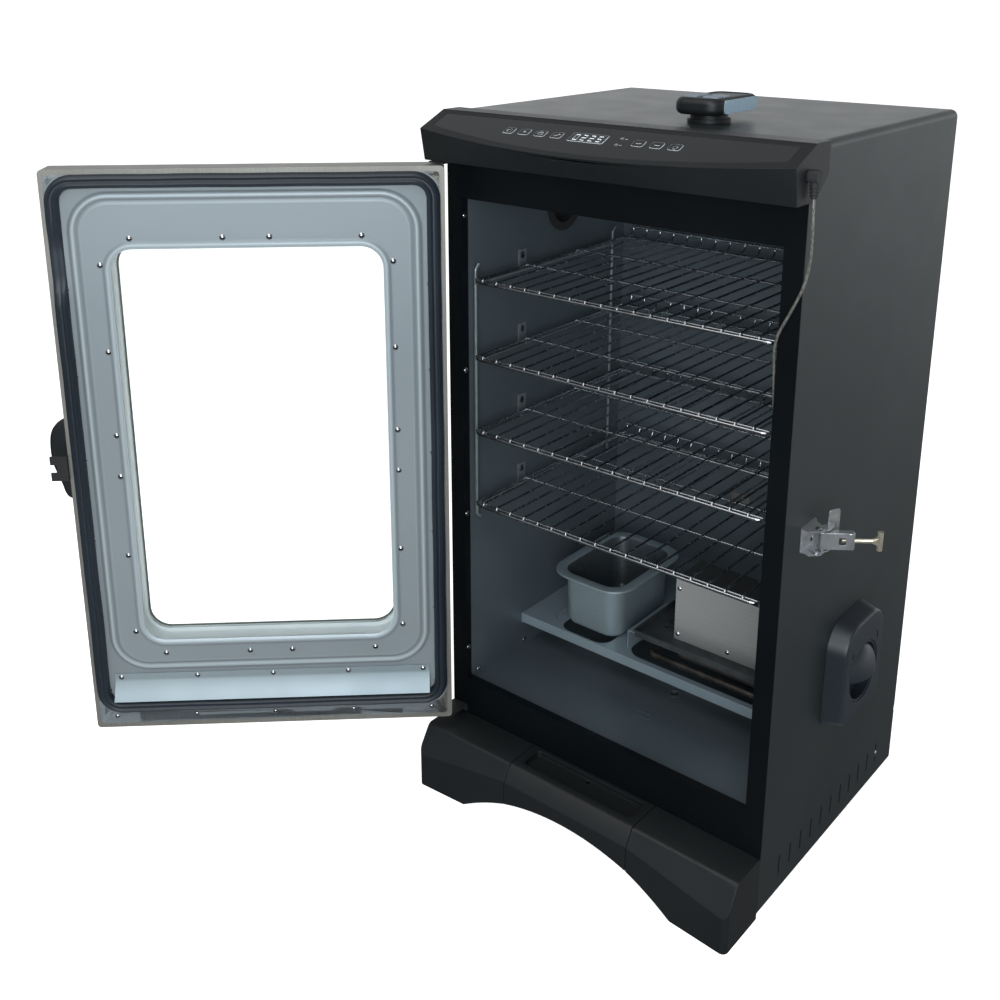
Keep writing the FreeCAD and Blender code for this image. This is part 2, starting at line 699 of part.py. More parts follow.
def control_housing():
    """Hollow plastic housing with end cheeks that wrap the cabinet's top corners."""
    outer = bezel_solid(0, 0)
    hollow = bezel_solid(BEZEL_WALL, BEZEL_WALL)
    cheek_outline = [
        (FRONT - 1, 785.6),
        (-176.4, 785.6),
        (-159.6, 800.3),
        (-152.5, 806.5),
        (-150.3, 811.0),
        (-150.3, TOP + 1.0),
        (FRONT - 1, TOP + 1.0),
    ]
    cheek = prism("yz", cheek_outline, HALF_WIDTH + 0.3, BEZEL_HALF)
    lid = box(-BEZEL_HALF, BEZEL_HALF, FRONT - 1, -152, TOP + 0.1, TOP + 1.2)
    back_wall = box(-BEZEL_HALF + 1, BEZEL_HALF - 1, FRONT - 2.1, FRONT - 0.1, 800, TOP)
    cavity = hollow.cut(back_wall)
    housing = fuse([outer.cut(cavity), cheek, mirrored(cheek), lid])
    pocket = slope_sheet(-2.0, 1.3, 0.4)
    flange_room = box(-HALF_WIDTH + 0.5, -194, FRONT - 1.7, FRONT + 1, BEZEL_BOTTOM - 2, 802)
    jack = disc(X_AXIS, V(BEZEL_HALF - 6, PLUG_Y, PLUG_Z), 3.6, 8)
    digit_window = slab(
        "xy", DISPLAY_LEFT + 2, DISPLAY_RIGHT - 2, DISPLAY_FRONT + 2, DISPLAY_BACK - 2, 1.0, 800, 845
    )
    return cut(housing, [pocket, flange_room, jack, digit_window])


def display_cutter():
    """The rectangular window through the touch panel over the digits."""
    return slab("xy", DISPLAY_LEFT, DISPLAY_RIGHT, DISPLAY_FRONT, DISPLAY_BACK, 1.5, 795, 850)


def control_panel():
    """Glossy touch panel that lies flush in the housing's slope."""
    return slope_sheet(0.15, 1.2, 0).cut(display_cutter())


def display_window():
    """Dark clear lens over the digits."""
    smaller = slab(
        "xy", DISPLAY_LEFT + 0.2, DISPLAY_RIGHT - 0.2, DISPLAY_FRONT + 0.2, DISPLAY_BACK - 0.2, 1.3, 795, 850
    )
    return slope_sheet(0.25, 1.1, 0).common(smaller)


def circuit_board():
    """Control board with its digit block, hung below the slope."""
    slope = math.degrees(math.atan2(BEZEL_TOP_Z - BEZEL_MIDDLE_Z, FRONT - BEZEL_MIDDLE_Y))
    board = box(-115, 105, -24, 10, -1.6, 0)
    digits = box(-28, 14, -9, 5, 0, 3.2)
    chips = [box(40, 54, -8, 6, 0, 1.8), box(-80, -64, -12, -2, 0, 2.4), box(80, 98, -16, -4, -9, -1.5)]
    board = fuse([board, digits] + chips)
    board.rotate(V(0, 0, 0), X_AXIS, slope)
    board.translate(V(0, -202.0, 818.3))
    return board


# ---------------------------------------------------------------- chamber fittings



def element_shelf():
    """Shelf with a hole under the water pan, an opening over the heating element and tray rails."""
    thickness = 1.0
    half = CHAMBER_HALF - 0.2
    back = CHAMBER_BACK - 0.3
    plate = box(-half, half, SHELF_FRONT, back, SHELF_TOP - thickness, SHELF_TOP)
    lip = box(-half, half, SHELF_FRONT, SHELF_FRONT + thickness, SHELF_TOP - 12.8, SHELF_TOP)
    seat = ring("xy", -161, -46, -57, 76, 22, 2.5, SHELF_TOP - 0.1, SHELF_TOP + 1.2)
    front_gap = box(-150, -46, -70, -30, SHELF_TOP - 1, SHELF_TOP + 2)
    right_gap = box(-60, -40, -60, 80, SHELF_TOP - 1, SHELF_TOP + 2)
    seat = cut(seat, [front_gap, right_gap])
    ends = [box(-half, -half + thickness, SHELF_FRONT, back, SHELF_TOP - 14, SHELF_TOP)]
    ends.append(mirrored(ends[0]))
    left_post = box(-43.5, -42.5, -46, 44, SHELF_TOP - 0.5, TRAY_LOW - 0.1)
    left_ledge = box(-43.5, -24, -46, 44, TRAY_LOW - 1.1, TRAY_LOW - 0.1)
    right_ledge = box(183, 197.4, -46, 44, TRAY_LOW - 1.1, TRAY_LOW - 0.1)
    right_post = box(196.4, 197.4, -46, 44, SHELF_TOP - 0.5, TRAY_LOW - 0.1)
    shelf = fuse([plate, lip, seat, left_post, left_ledge, right_ledge, right_post] + ends)
    pan_hole = slab("xy", -140.5, -66.5, -62, 45, 18, SHELF_TOP - 3, SHELF_TOP + 3)
    element_opening = slab("xy", -40, 186, -57, 62, 22, SHELF_TOP - 3, SHELF_TOP + 2)
    y, z = WALL_SCREWS[2]
    screws = [disc(X_AXIS, V(side * half - 2, y, z), SHANK_HOLE, 4) for side in (-1, 1)]
    return cut(shelf, [pan_hole, element_opening] + screws)


def heating_element():
    """Sheathed heating rod bent into a hairpin under the chip tray."""
    end = CHAMBER_BACK + 18
    points = [
        V(ELEMENT_ENDS[0], end, ELEMENT_Z),
        V(ELEMENT_ENDS[0], 42, ELEMENT_Z),
        V(-22, 42, ELEMENT_Z),
        V(-22, -28, ELEMENT_Z),
        V(172, -28, ELEMENT_Z),
        V(172, -6, ELEMENT_Z),
        V(4, -6, ELEMENT_Z),
        V(4, 18, ELEMENT_Z),
        V(ELEMENT_ENDS[1], 18, ELEMENT_Z),
        V(ELEMENT_ENDS[1], end, ELEMENT_Z),
    ]
    heater = rod(points, ELEMENT_RADIUS, 10.5)
    collars = [disc(Y_AXIS, V(x, CHAMBER_BACK - 5, ELEMENT_Z), 6.5, 4.8) for x in ELEMENT_ENDS]
    pins = [disc(Y_AXIS, V(x, end - 0.5, ELEMENT_Z), 1.6, 6.5) for x in ELEMENT_ENDS]
    return fuse([heater] + collars + pins)


def chip_housing():
    """Folded stainless box over the chip tray, open below and joined to the right wall."""
    sheet = 0.9
    right = CHAMBER_HALF - 0.1
    outer = box(CHIP_LEFT, right, CHIP_FRONT, CHIP_BACK, CHIP_LOW, CHIP_HIGH)
    hollow = box(
        CHIP_LEFT + sheet, right + 1, CHIP_FRONT + sheet, CHIP_BACK - sheet, CHIP_LOW - 1, CHIP_HIGH - sheet
    )
    front_tab = box(right - sheet, right, CHIP_FRONT - 9, CHIP_FRONT + sheet, CHIP_LOW + 10, CHIP_HIGH)
    back_tab = box(right - sheet, right, CHIP_BACK - sheet, CHIP_BACK + 9, CHIP_LOW + 10, CHIP_HIGH)
    top_tab = box(right - sheet, right, CHIP_FRONT, CHIP_BACK, CHIP_HIGH - sheet, CHIP_HIGH + 9)
    housing = fuse([outer.cut(hollow), front_tab, back_tab, top_tab])
    holes = [disc(Y_AXIS, V(x, CHIP_FRONT - 1, z), SHANK_HOLE, 3) for x, z in CHIP_RIVETS]
    holes.append(box(TRAY_RIGHT - 4, right + 1, -60, 60, CHIP_LOW - 1, TRAY_LOW + TRAY_RIM + 1))
    return cut(housing, holes)




def chip_tray():
    """Shallow tray for wood chips, open at the back so that it slides out under the housing."""
    sheet = 1.0
    tray = slab("xy", TRAY_LEFT, TRAY_RIGHT, TRAY_FRONT, 49, 3, TRAY_LOW, TRAY_LOW + TRAY_RIM)
    hollow = slab(
        "xy", TRAY_LEFT + sheet, TRAY_RIGHT - sheet, TRAY_FRONT + sheet, 60, 2,
        TRAY_LOW + sheet, TRAY_LOW + 20,
    )
    back_end = box(-100, 300, 46, 60, TRAY_LOW - 1, TRAY_LOW + 20)
    rim = TRAY_LOW + TRAY_RIM
    front_lip = box(TRAY_LEFT, TRAY_RIGHT, TRAY_FRONT - 1.5, TRAY_FRONT + sheet, rim - sheet, rim)
    tray = tray.cut(hollow).cut(back_end).fuse(front_lip).removeSplitter()
    holes = []
    for x in spread(-10, 170, 10):
        for y in (-8, 6, 20, 34):
            holes.append(disc(Z_AXIS, V(x, y, TRAY_LOW - 1), 2.5, 3))
    return cut(tray, holes)


def water_pan():
    """Deep-drawn pan with round corners and a flat rim."""
    rim_z = 245.0
    sheet = 1.0
    low = (PAN_CENTRE_X - 43, PAN_CENTRE_X + 43, -38, 72, 20)
    high = (PAN_CENTRE_X - 50, PAN_CENTRE_X + 50, -54, 90, 26)
    body = tapered("xy", low, SHELF_TOP + 0.1, high, rim_z)
    bottom_edges = [edge for edge in body.Edges if edge.BoundBox.ZMax < SHELF_TOP + 0.2]
    body = body.makeFillet(3.0, bottom_edges)
    low_in = (low[0] + sheet, low[1] - sheet, low[2] + sheet, low[3] - sheet, low[4] - sheet)
    high_in = (high[0] + sheet, high[1] - sheet, high[2] + sheet, high[3] - sheet, high[4] - sheet)
    hollow = tapered("xy", low_in, SHELF_TOP + 0.1 + sheet, high_in, rim_z)
    hollow_edges = [edge for edge in hollow.Edges if edge.BoundBox.ZMax < SHELF_TOP + sheet + 0.2]
    hollow = hollow.makeFillet(2.2, hollow_edges)
    hollow = hollow.fuse(slab("xy", *high_in, rim_z - 0.01, rim_z + 3))
    rim = slab("xy", PAN_CENTRE_X - 57.5, PAN_CENTRE_X + 57.5, -61.5, 97.5, 32, rim_z - sheet, rim_z)
    curl = ring("xy", PAN_CENTRE_X - 57.5, PAN_CENTRE_X + 57.5, -61.5, 97.5, 32, 1.0, rim_z - 3.0, rim_z)
    return fuse([body, rim, curl]).cut(hollow)


def rack(level):
    """Welded wire rack: a closed frame, cross wires and long wires turned down at the front."""
    grid_z = level + 4.0
    frame = closed_rod("xy", -RACK_HALF, RACK_HALF, RACK_FRONT, RACK_BACK, 12.0, level, FRAME_WIRE)
    pieces = [frame]
    for y in (-156.0, -70.0, 33.0, 134.0):
        cross = disc(X_AXIS, V(-RACK_HALF + 1, y, level + 1.4), 1.5, 2 * RACK_HALF - 2)
        pieces.append(cross)
    rear_rail = disc(X_AXIS, V(GRID_START - 3, RACK_BACK - 1.6, level + 18.0), 1.6, GRID_PITCH * 17 + 6)
    pieces.append(rear_rail)
    for i in range(GRID_COUNT):
        x = GRID_START + GRID_PITCH * i
        points = [
            V(x, RACK_FRONT, level + 0.6),
            V(x, RACK_FRONT, grid_z),
            V(x, RACK_BACK - 1.6, grid_z),
            V(x, RACK_BACK - 1.6, level + 18.0),
        ]
        pieces.append(rod(points, GRID_WIRE, 2.6))
    return fuse(pieces)


def rack_support():
    """Right-hand wire ladder: two uprights, a rung under each rack and wall tabs."""
    upright_x = 194.2
    rung_x = 190.8
    wire = 1.9
    pieces = []
    for y in (-159.0, 118.0):
        bends = ((y + 6, 344), (y, 350), (y, 656), (y + 6, 662))
        points = [V(upright_x, bend_y, bend_z) for bend_y, bend_z in bends]
        pieces.append(rod(points, wire, 4.0))
    for level in RACK_LEVELS:
        rung_z = level - FRAME_WIRE - wire - 0.05
        pieces.append(disc(Y_AXIS, V(rung_x, -162, rung_z), wire, 292))
        y = SUPPORT_SCREW_Y
        pieces.append(box(rung_x, CHAMBER_HALF - 0.1, y - 7, y + 7, rung_z - 1.5, rung_z))
        tab_top = level + SUPPORT_SCREW_RISE + 7
        tab = box(CHAMBER_HALF - 1.3, CHAMBER_HALF - 0.1, y - 7, y + 7, rung_z - 1.5, tab_top)
        tab = tab.cut(disc(X_AXIS, V(CHAMBER_HALF - 2, y, level + SUPPORT_SCREW_RISE), SHANK_HOLE, 3))
        pieces.append(tab)
    return fuse(pieces)


def rack_supports():
    """The two wire ladders that hook on the chamber walls."""
    right = rack_support()
    return Part.makeCompound([right, mirrored(right)])


def temperature_sensor():
    """Thin probe tube with a clip on the back wall."""
    tube = disc(Y_AXIS, V(SENSOR_X, CHAMBER_BACK - 38, SENSOR_Z), 2.5, 56)
    tip = Part.makeSphere(2.5, V(SENSOR_X, CHAMBER_BACK - 38, SENSOR_Z))
    flange = slab(
        "xz", SENSOR_X - 14, SENSOR_X + 14, SENSOR_Z - 6, SENSOR_Z + 6, 5,
        CHAMBER_BACK - 1.3, CHAMBER_BACK - 0.1,
    )
    return fuse([tube, tip, flange])


# ---------------------------------------------------------------- chip loader


def loader_outline(inset, level):
    """The loader's outline on the wall: wide shoulders and tighter lower corners."""
    y0 = LOADER_Y - 55 + inset
    y1 = LOADER_Y + 55 - inset
    z0 = 171 + inset
    z1 = 299 - inset * 0.7
    shoulder = 34 - inset * 0.5
    foot = 15 - inset * 0.3

    def at(y, z):
        return V(level, y, z)

    def corner(y, z, radius, sy, sz, rising):
        diagonal = radius * (1 - math.sqrt(0.5))
        on_side = at(y, z + sz * radius)
        on_end = at(y + sy * radius, z)
        middle = at(y + sy * diagonal, z + sz * diagonal)
        return arc(on_side, middle, on_end) if rising else arc(on_end, middle, on_side)

    edges = [
        Part.makeLine(at(y0 + foot, z0), at(y1 - foot, z0)),
        corner(y1, z0, foot, -1, 1, False),
        Part.makeLine(at(y1, z0 + foot), at(y1, z1 - shoulder)),
        corner(y1, z1, shoulder, -1, -1, True),
        Part.makeLine(at(y1 - shoulder, z1), at(y0 + shoulder, z1)),
        corner(y0, z1, shoulder, 1, -1, False),
        Part.makeLine(at(y0, z1 - shoulder), at(y0, z0 + foot)),
        corner(y0, z0, foot, 1, 1, True),
    ]
    return Part.Wire(edges)


def loader_housing():
    """Plastic surround on the right wall with a round socket for the turning handle."""
    base_x = HALF_WIDTH + 0.1
    body = Part.makeLoft([loader_outline(0, base_x), loader_outline(6, LOADER_FACE)], True, True)
    front_edges = [edge for edge in body.Edges if edge.BoundBox.XMin > LOADER_FACE - 0.01]
    body = body.makeFillet(4.0, front_edges)
    hollow = Part.makeLoft([loader_outline(3, base_x - 0.1), loader_outline(9, LOADER_FACE - 3)], True, True)
    socket_wall = disc(X_AXIS, V(base_x, LOADER_Y, LOADER_Z), KNOB_RADIUS + 3.0, LOADER_FACE - base_x - 0.5)
    body = body.cut(hollow.cut(socket_wall))
    socket = disc(X_AXIS, V(base_x - 1, LOADER_Y, LOADER_Z), KNOB_RADIUS + 0.5, 40)
    notches = []
    for y in (LOADER_Y - 32, LOADER_Y + 32):
        notches.append(slab("yz", y - 1.5, y + 1.5, 256, 265, 1.2, LOADER_FACE - 1.5, LOADER_FACE + 1))
    return cut(body, [socket] + notches)


def loader_ring():
    """Bearing ring that stays upright while the handle turns inside it."""
    outer = disc(X_AXIS, V(HALF_WIDTH + 0.3, LOADER_Y, LOADER_Z), KNOB_RADIUS, 4.0)
    return outer.cut(disc(X_AXIS, V(HALF_WIDTH, LOADER_Y, LOADER_Z), SCOOP_RADIUS + RUNNING_GAP, 6.0))


def loader_knob():
    """Round turning handle: a half-dome grip above a finger scoop."""
    back_x = HALF_WIDTH + 4.5
    plate = disc(X_AXIS, V(back_x, LOADER_Y, LOADER_Z), KNOB_RADIUS, 4.0)
    rim = disc(X_AXIS, V(back_x, LOADER_Y, LOADER_Z), KNOB_RADIUS, LOADER_FACE - back_x - 1.0)
    rim = rim.cut(disc(X_AXIS, V(back_x, LOADER_Y, LOADER_Z), KNOB_RADIUS - 2.5, 30))
    ball = Part.makeSphere(1.0)
    stretch = FreeCAD.Matrix()
    stretch.scale(25.0, KNOB_RADIUS - 0.6, KNOB_RADIUS - 0.6)
    dome = ball.transformGeometry(stretch)
    dome.translate(V(back_x + 3, LOADER_Y, LOADER_Z))
    upper = box(back_x + 2, back_x + 40, -60, 60, LOADER_Z - 2, LOADER_Z + 60)
    dome = dome.common(upper)
    hub = disc(X_AXIS, V(back_x + 3, LOADER_Y - 11, LOADER_Z - 17), 5.0, 3.0)
    hub = hub.cut(disc(X_AXIS, V(back_x + 4, LOADER_Y - 11, LOADER_Z - 17), 3.4, 3.0))
    return fuse([plate, rim, dome, hub])


def chip_scoop():
    """Half-open metal tube on the handle that carries the chips over the tray."""
    inner_end = CHIP_LEFT + 8
    outer_end = HALF_WIDTH + 4.4
    length = outer_end - inner_end
    tube = disc(X_AXIS, V(inner_end, LOADER_Y, LOADER_Z), SCOOP_RADIUS, length)
    bore = disc(X_AXIS, V(inner_end + 1, LOADER_Y, LOADER_Z), SCOOP_RADIUS - 1.0, length - 2)
    mouth = box(inner_end + 8, 168, -40, 40, LOADER_Z + 6, LOADER_Z + 40)
    return tube.cut(bore).cut(mouth)


# ---------------------------------------------------------------- exhaust vent

def damper_holes(level, length):
    """The ring of round openings shared by the vent grid and the damper."""
    tools = []
    for i in range(DAMPER_HOLES):
        angle = math.radians(45 + 360 / DAMPER_HOLES * i)
        y = VENT_Y + DAMPER_PITCH_RADIUS * math.cos(angle)
        z = VENT_Z + DAMPER_PITCH_RADIUS * math.sin(angle)
        tools.append(disc(X_AXIS, V(level, y, z), DAMPER_HOLE_RADIUS, length))
    return tools


def exhaust_collar():
    """Vent through the left wall: an inner flange, a tube and an outer cup with a grid."""
    inside = -CHAMBER_HALF + 0.1
    outside = -HALF_WIDTH - 0.1
    cup_end = outside - 9.0
    flange = disc(X_AXIS, V(inside, VENT_Y, VENT_Z), VENT_FLANGE, 1.5)
    tube = disc(X_AXIS, V(cup_end, VENT_Y, VENT_Z), VENT_RADIUS, inside - cup_end + 1.5)
    cup = Part.makeCone(37.0, 40.0, 9.0, V(cup_end, VENT_Y, VENT_Z), X_AXIS)
    bore = disc(X_AXIS, V(cup_end + 2.0, VENT_Y, VENT_Z), VENT_RADIUS - 1.5, 60)
    cross = box(
        inside - 0.4, inside + 1.4, VENT_Y - VENT_RADIUS + 1, VENT_Y + VENT_RADIUS - 1, VENT_Z - 2, VENT_Z + 2
    )
    post = disc(X_AXIS, V(cup_end - 6.0, VENT_Y, VENT_Z), 3.0, 8.0)
    stop = disc(X_AXIS, V(cup_end - 6.5, VENT_Y, VENT_Z), 5.5, 1.5)
    collar = fuse([flange, tube, cup]).cut(bore).cut(Part.makeCompound(damper_holes(cup_end - 1, 5)))
    return fuse([collar, cross, post, stop])


def vent_damper():
    """Round plate that turns on the vent grid to open or close its holes."""
    back = -HALF_WIDTH - 9.2
    plate = disc(X_AXIS, V(back - 4.5, VENT_Y, VENT_Z), 33.0, 4.5)
    grip = slab("yz", VENT_Y - 4, VENT_Y + 4, VENT_Z + 19, VENT_Z + 39, 3.5, back - 9.5, back - 1.0)
    damper = plate.fuse(grip).removeSplitter()
    centre = disc(X_AXIS, V(back - 12, VENT_Y, VENT_Z), 3.0 + RUNNING_GAP, 14)
    return cut(damper, [centre] + damper_holes(back - 6, 8))


# ---------------------------------------------------------------- hinges and latch


def hinge_brackets():
    """Lower and upper brackets on the front frame, each with its hinge pin."""
    left = -HALF_WIDTH + 0.6
    right = -196.0
    front = HINGE_Y - 8.0
    low_top = DOOR_LOW - 1.6
    lower_plate = box(left, right, front, FRONT - 0.1, low_top - 2.0, low_top)
    lower_flange = box(left, right, FRONT - 2.0, FRONT - 0.1, 80.5, low_top)
    lower_pin = disc(Z_AXIS, V(HINGE_X, HINGE_Y, low_top - 0.5), PIN_RADIUS, 20.0)
    high_low = DOOR_HIGH + 0.9
    upper_plate = box(left, right, front, FRONT - 0.1, high_low, high_low + 1.5)
    upper_flange = box(left + 0.2, right, FRONT - 1.5, FRONT - 0.1, high_low, 800.0)
    upper_pin = disc(Z_AXIS, V(HINGE_X, HINGE_Y, DOOR_HIGH - 18.0), PIN_RADIUS, 19.5)
    return Part.makeCompound([
        fuse([lower_plate, lower_flange, lower_pin]),
        fuse([upper_plate, upper_flange, upper_pin]),
    ])


def hinge_plates():
    """Door-side bearings: a sleeve and a plate in the top and bottom corners of the door."""
    parts = []
    for low, plate_low in ((DOOR_LOW + 2.4, DOOR_LOW + 13.0), (DOOR_HIGH - 17.0, DOOR_HIGH - 17.0)):
        sleeve = disc(Z_AXIS, V(HINGE_X, HINGE_Y, low), SLEEVE_RADIUS, 14.4)
        left = HINGE_X - SLEEVE_RADIUS + 0.1
        plate = box(left, HINGE_X + 40, HINGE_Y - 6, HINGE_Y + 6, plate_low, plate_low + 2)
        bore = disc(Z_AXIS, V(HINGE_X, HINGE_Y, low - 2), PIN_RADIUS + RUNNING_GAP, 24.0)
        parts.append(swung(sleeve.fuse(plate).removeSplitter().cut(bore)))
    return Part.makeCompound(parts)


def latch_base():
    """Latch bracket on the right wall: a plate with two ears."""
    wall = HALF_WIDTH + 0.05
    sheet = 1.2
    low = LATCH_Z - LATCH_HALF
    high = LATCH_Z + LATCH_HALF
    plate = box(wall, wall + sheet, -142.0, -110.0, low, high)
    ear_outline = [(wall, -142.0), (229.5, -144.0), (238.5, -135.5), (238.5, -127.0)]
    ear_outline += [(226.0, -118.0), (wall, -110.0)]
    pieces = [plate]
    for z in (low, high - sheet):
        ear = prism("xy", ear_outline, z, z + sheet)
        pieces.append(ear)
    base = fuse(pieces)
    holes = [disc(Z_AXIS, V(LATCH_PIVOT_X, LATCH_PIVOT_Y, low - 1), 2.0, 2 * LATCH_HALF + 2)]
    for y, z in LATCH_RIVETS:
        holes.append(disc(X_AXIS, V(wall - 1, y, z), SHANK_HOLE, 4))
    return cut(base, holes)


def latch_lever():
    """Channel-shaped latch lever with a thumb tab and the cross pin that carries the link."""
    low = LATCH_Z - LATCH_HALF + 1.5
    high = LATCH_Z + LATCH_HALF - 1.5
    sheet = 1.2
    x = LATCH_PIVOT_X
    y = LATCH_PIVOT_Y
    outline = [
        (x - 5.0, y - 3.0),
        (x - 3.0, y - 4.6),
        (x + 10.0, y - 4.6),
        (x + 20.0, y + 1.0),
        (x + 25.0, y + 7.4),
        (x - 5.0, y + 7.4),
    ]
    pieces = [prism("xy", outline, z, z + sheet) for z in (low, high - sheet)]
    pieces.append(box(x + 2.0, x + 25.0, y + 6.2, y + 7.4, low, high))
    pieces.append(slab("xz", x + 17.0, x + 31.0, LATCH_Z - 6, high + 15.0, 3.0, y + 6.2, y + 7.4))
    pieces.append(disc(Z_AXIS, V(x + LINK_OFFSET, y, low + 0.1), 1.5, high - low - 0.2))
    lever = fuse(pieces)
    lever = lever.cut(disc(Z_AXIS, V(x, y, low - 1), 2.0 + RUNNING_GAP, 2 * LATCH_HALF))
    return latch_turned(lever, LEVER_REST)


def link_placed(shape):
    """A link part drawn along +X from the lever's cross pin, carried and turned with the lever."""
    carried = shape.copy()
    start = V(LATCH_PIVOT_X + LINK_OFFSET, LATCH_PIVOT_Y, 0)
    carried.translate(start)
    carried.rotate(start, Z_AXIS, LINK_REST - LEVER_REST)
    return latch_turned(carried, LEVER_REST)


def latch_link():
    """Box-shaped link between the lever's cross pin and the T-bolt, with a barrel nut at its end."""
    half = 9.0
    outer = box(-3.2, 30.0, -4.0, 4.0, LATCH_Z - half, LATCH_Z + half)
    inner = box(-4.0, 28.0, -2.8, 5.0, LATCH_Z - half + 1.2, LATCH_Z + half - 1.2)
    nut = disc(Z_AXIS, V(27.0, 0, LATCH_Z - half + 0.6), 4.4, 2 * half - 1.2)
    window = slab("xz", 15.0, 22.0, LATCH_Z - 4.0, LATCH_Z + 4.0, 1.5, -6.0, -2.0)
    link = outer.cut(inner).cut(window).fuse(nut).removeSplitter()
    pin_bore = disc(Z_AXIS, V(0, 0, LATCH_Z - half - 1), 1.5 + RUNNING_GAP, 2 * half + 2)
    bolt_bore = disc(X_AXIS, V(18.0, 0, LATCH_Z), 2.4, 20.0)
    return link_placed(link.cut(pin_bore).cut(bolt_bore))


def t_bolt():
    """Threaded bolt with a forked cross head that hooks behind the strike."""
    shank = disc(X_AXIS, V(18.5, 0, LATCH_Z), 2.4, LINK_REACH - 20.0)
    flare = Part.makeCone(2.4, 5.0, 6.0, V(LINK_REACH - 8.0, 0, LATCH_Z), X_AXIS)
    flare = flare.common(box(0, 80, -3.1, 3.1, LATCH_Z - 10, LATCH_Z + 10))
    head = disc(Z_AXIS, V(LINK_REACH, 0, LATCH_Z - 10.0), 3.1, 20.0)
    return link_placed(fuse([shank, flare, head]))


def latch_strike():
    """Strike on the door's edge: a plate with an outward lip, slotted for the T-bolt."""
    side = DOOR_HALF + 0.05
    low = LATCH_Z - 15.0
    high = LATCH_Z + 15.0
    leg = box(side, side + 1.6, -206.0, -175.8, low, high)
    lip = slab("xz", side, 238.5, low, high, 0.7, -177.8, -175.8)
    slot = slab("xz", 230.8, 245.0, LATCH_Z - 4.9, LATCH_Z + 4.9, 1.0, -179.0, -175.0)
    strike = leg.fuse(lip).removeSplitter().cut(slot)
    holes = [disc(X_AXIS, V(side - 1, y, z), SHANK_HOLE, 4) for y, z in STRIKE_RIVETS]
    return swung(cut(strike, holes))


# ---------------------------------------------------------------- door


def window_hole(low, high):
    """The door's window opening between two depths."""
    return slab("xz", -WINDOW_HALF, WINDOW_HALF, WINDOW_LOW, WINDOW_HIGH, WINDOW_RADIUS, low, high)


def door_skin():
    """Drawn stainless door pan with a turned-in rim and a window opening."""
    outer = slab("xz", -DOOR_HALF, DOOR_HALF, DOOR_LOW, DOOR_HIGH, 5.0, DOOR_OUTER, DOOR_INNER)
    front_edges = [edge for edge in outer.Edges if edge.BoundBox.YMax < DOOR_OUTER + 0.01]
    outer = outer.makeFillet(4.0, front_edges)
    s = DOOR_SHEET
    hollow = slab(
        "xz", -DOOR_HALF + s, DOOR_HALF - s, DOOR_LOW + s, DOOR_HIGH - s, 4.0, DOOR_OUTER + s, DOOR_INNER - s
    )
    hollow_edges = [edge for edge in hollow.Edges if edge.BoundBox.YMax < DOOR_OUTER + s + 0.01]
    hollow = hollow.makeFillet(3.0, hollow_edges)
    rim_opening = slab("xz", -213, 213, 111.3, 776.9, 24, DOOR_INNER - 2 * s, DOOR_INNER + s)
    window = window_hole(DOOR_OUTER - s, DOOR_OUTER + 2 * s)
    holes = [disc(Z_AXIS, V(HINGE_X, HINGE_Y, DOOR_LOW - 1), 4.2, 800)]
    for x in ROW_SCREW_X:
        holes.append(disc(Y_AXIS, V(x, DOOR_INNER - 3, ROW_SCREW_Z[0]), SHANK_HOLE, 4))
    for z in HANDLE_SCREW_Z:
        holes.append(disc(Y_AXIS, V(HANDLE_SCREW_X, DOOR_OUTER - 1, z), 2.1, 4))
    for y, z in STRIKE_RIVETS:
        holes.append(disc(X_AXIS, V(DOOR_HALF - 2, y, z), SHANK_HOLE, 4))
    return swung(cut(outer, [hollow, rim_opening, window] + holes))


def door_inner_panel():
    """Aluminised inner panel: a flat border, a raised plateau and a ridge around the window."""
    t = PANEL_SHEET
    base = slab("xz", -217.6, 217.6, DOOR_LOW + 1.4, DOOR_HIGH - 1.4, 3.5, PANEL_FACE - t, PANEL_FACE)
    step = 7.0
    low = (-192, 192, 171, 758, 45)
    high = (-192 + step, 192 - step, 171 + step, 758 - step, 45 - step)
    plateau = tapered("xz", low, PANEL_FACE - 0.01, high, PLATEAU_FACE)
    low_in = (low[0] + t, low[1] - t, low[2] + t, low[3] - t, low[4] - t)
    high_in = (high[0] + t, high[1] - t, high[2] + t, high[3] - t, high[4] - t)
    hollow = tapered("xz", low_in, PANEL_FACE - t - 0.01, high_in, PLATEAU_FACE - t)
    ridge_low = (-WINDOW_HALF - 7, WINDOW_HALF + 7, WINDOW_LOW - 7, WINDOW_HIGH + 7, WINDOW_RADIUS + 7)
    w = 4.5
    ridge_high = (-WINDOW_HALF - w, WINDOW_HALF + w, WINDOW_LOW - w, WINDOW_HIGH + w, WINDOW_RADIUS + w)
    ridge = tapered("xz", ridge_low, PLATEAU_FACE - 0.2, ridge_high, PLATEAU_FACE + 2.0)
    window = window_hole(PANEL_FACE - 5, PLATEAU_FACE + 5)
    panel = base.fuse(plateau).cut(hollow).fuse(ridge).removeSplitter()
    holes = []
    points = [(x, z) for x in (-BORDER_SCREW_X, BORDER_SCREW_X) for z in BORDER_SCREW_Z]
    points += [(x, z) for x in ROW_SCREW_X for z in ROW_SCREW_Z]
    points += [(x, LIP_RIVET_Z) for x in LIP_RIVET_X]
    points += [(x, z) for x in (-RIVET_SIDE_X, RIVET_SIDE_X) for z in RIVET_SIDE_Z]
    points += [(x, z) for x in RIVET_ROW_X for z in RIVET_ROW_Z]
    for x, z in points:
        holes.append(disc(Y_AXIS, V(x, PANEL_FACE - 3, z), SHANK_HOLE, 12))
    return swung(cut(panel, [window] + holes))




def pane(low):
    """One sheet of tempered glass."""
    return slab("xz", -PANE_HALF, PANE_HALF, PANE_LOW, PANE_HIGH, 30, low, low + GLASS)


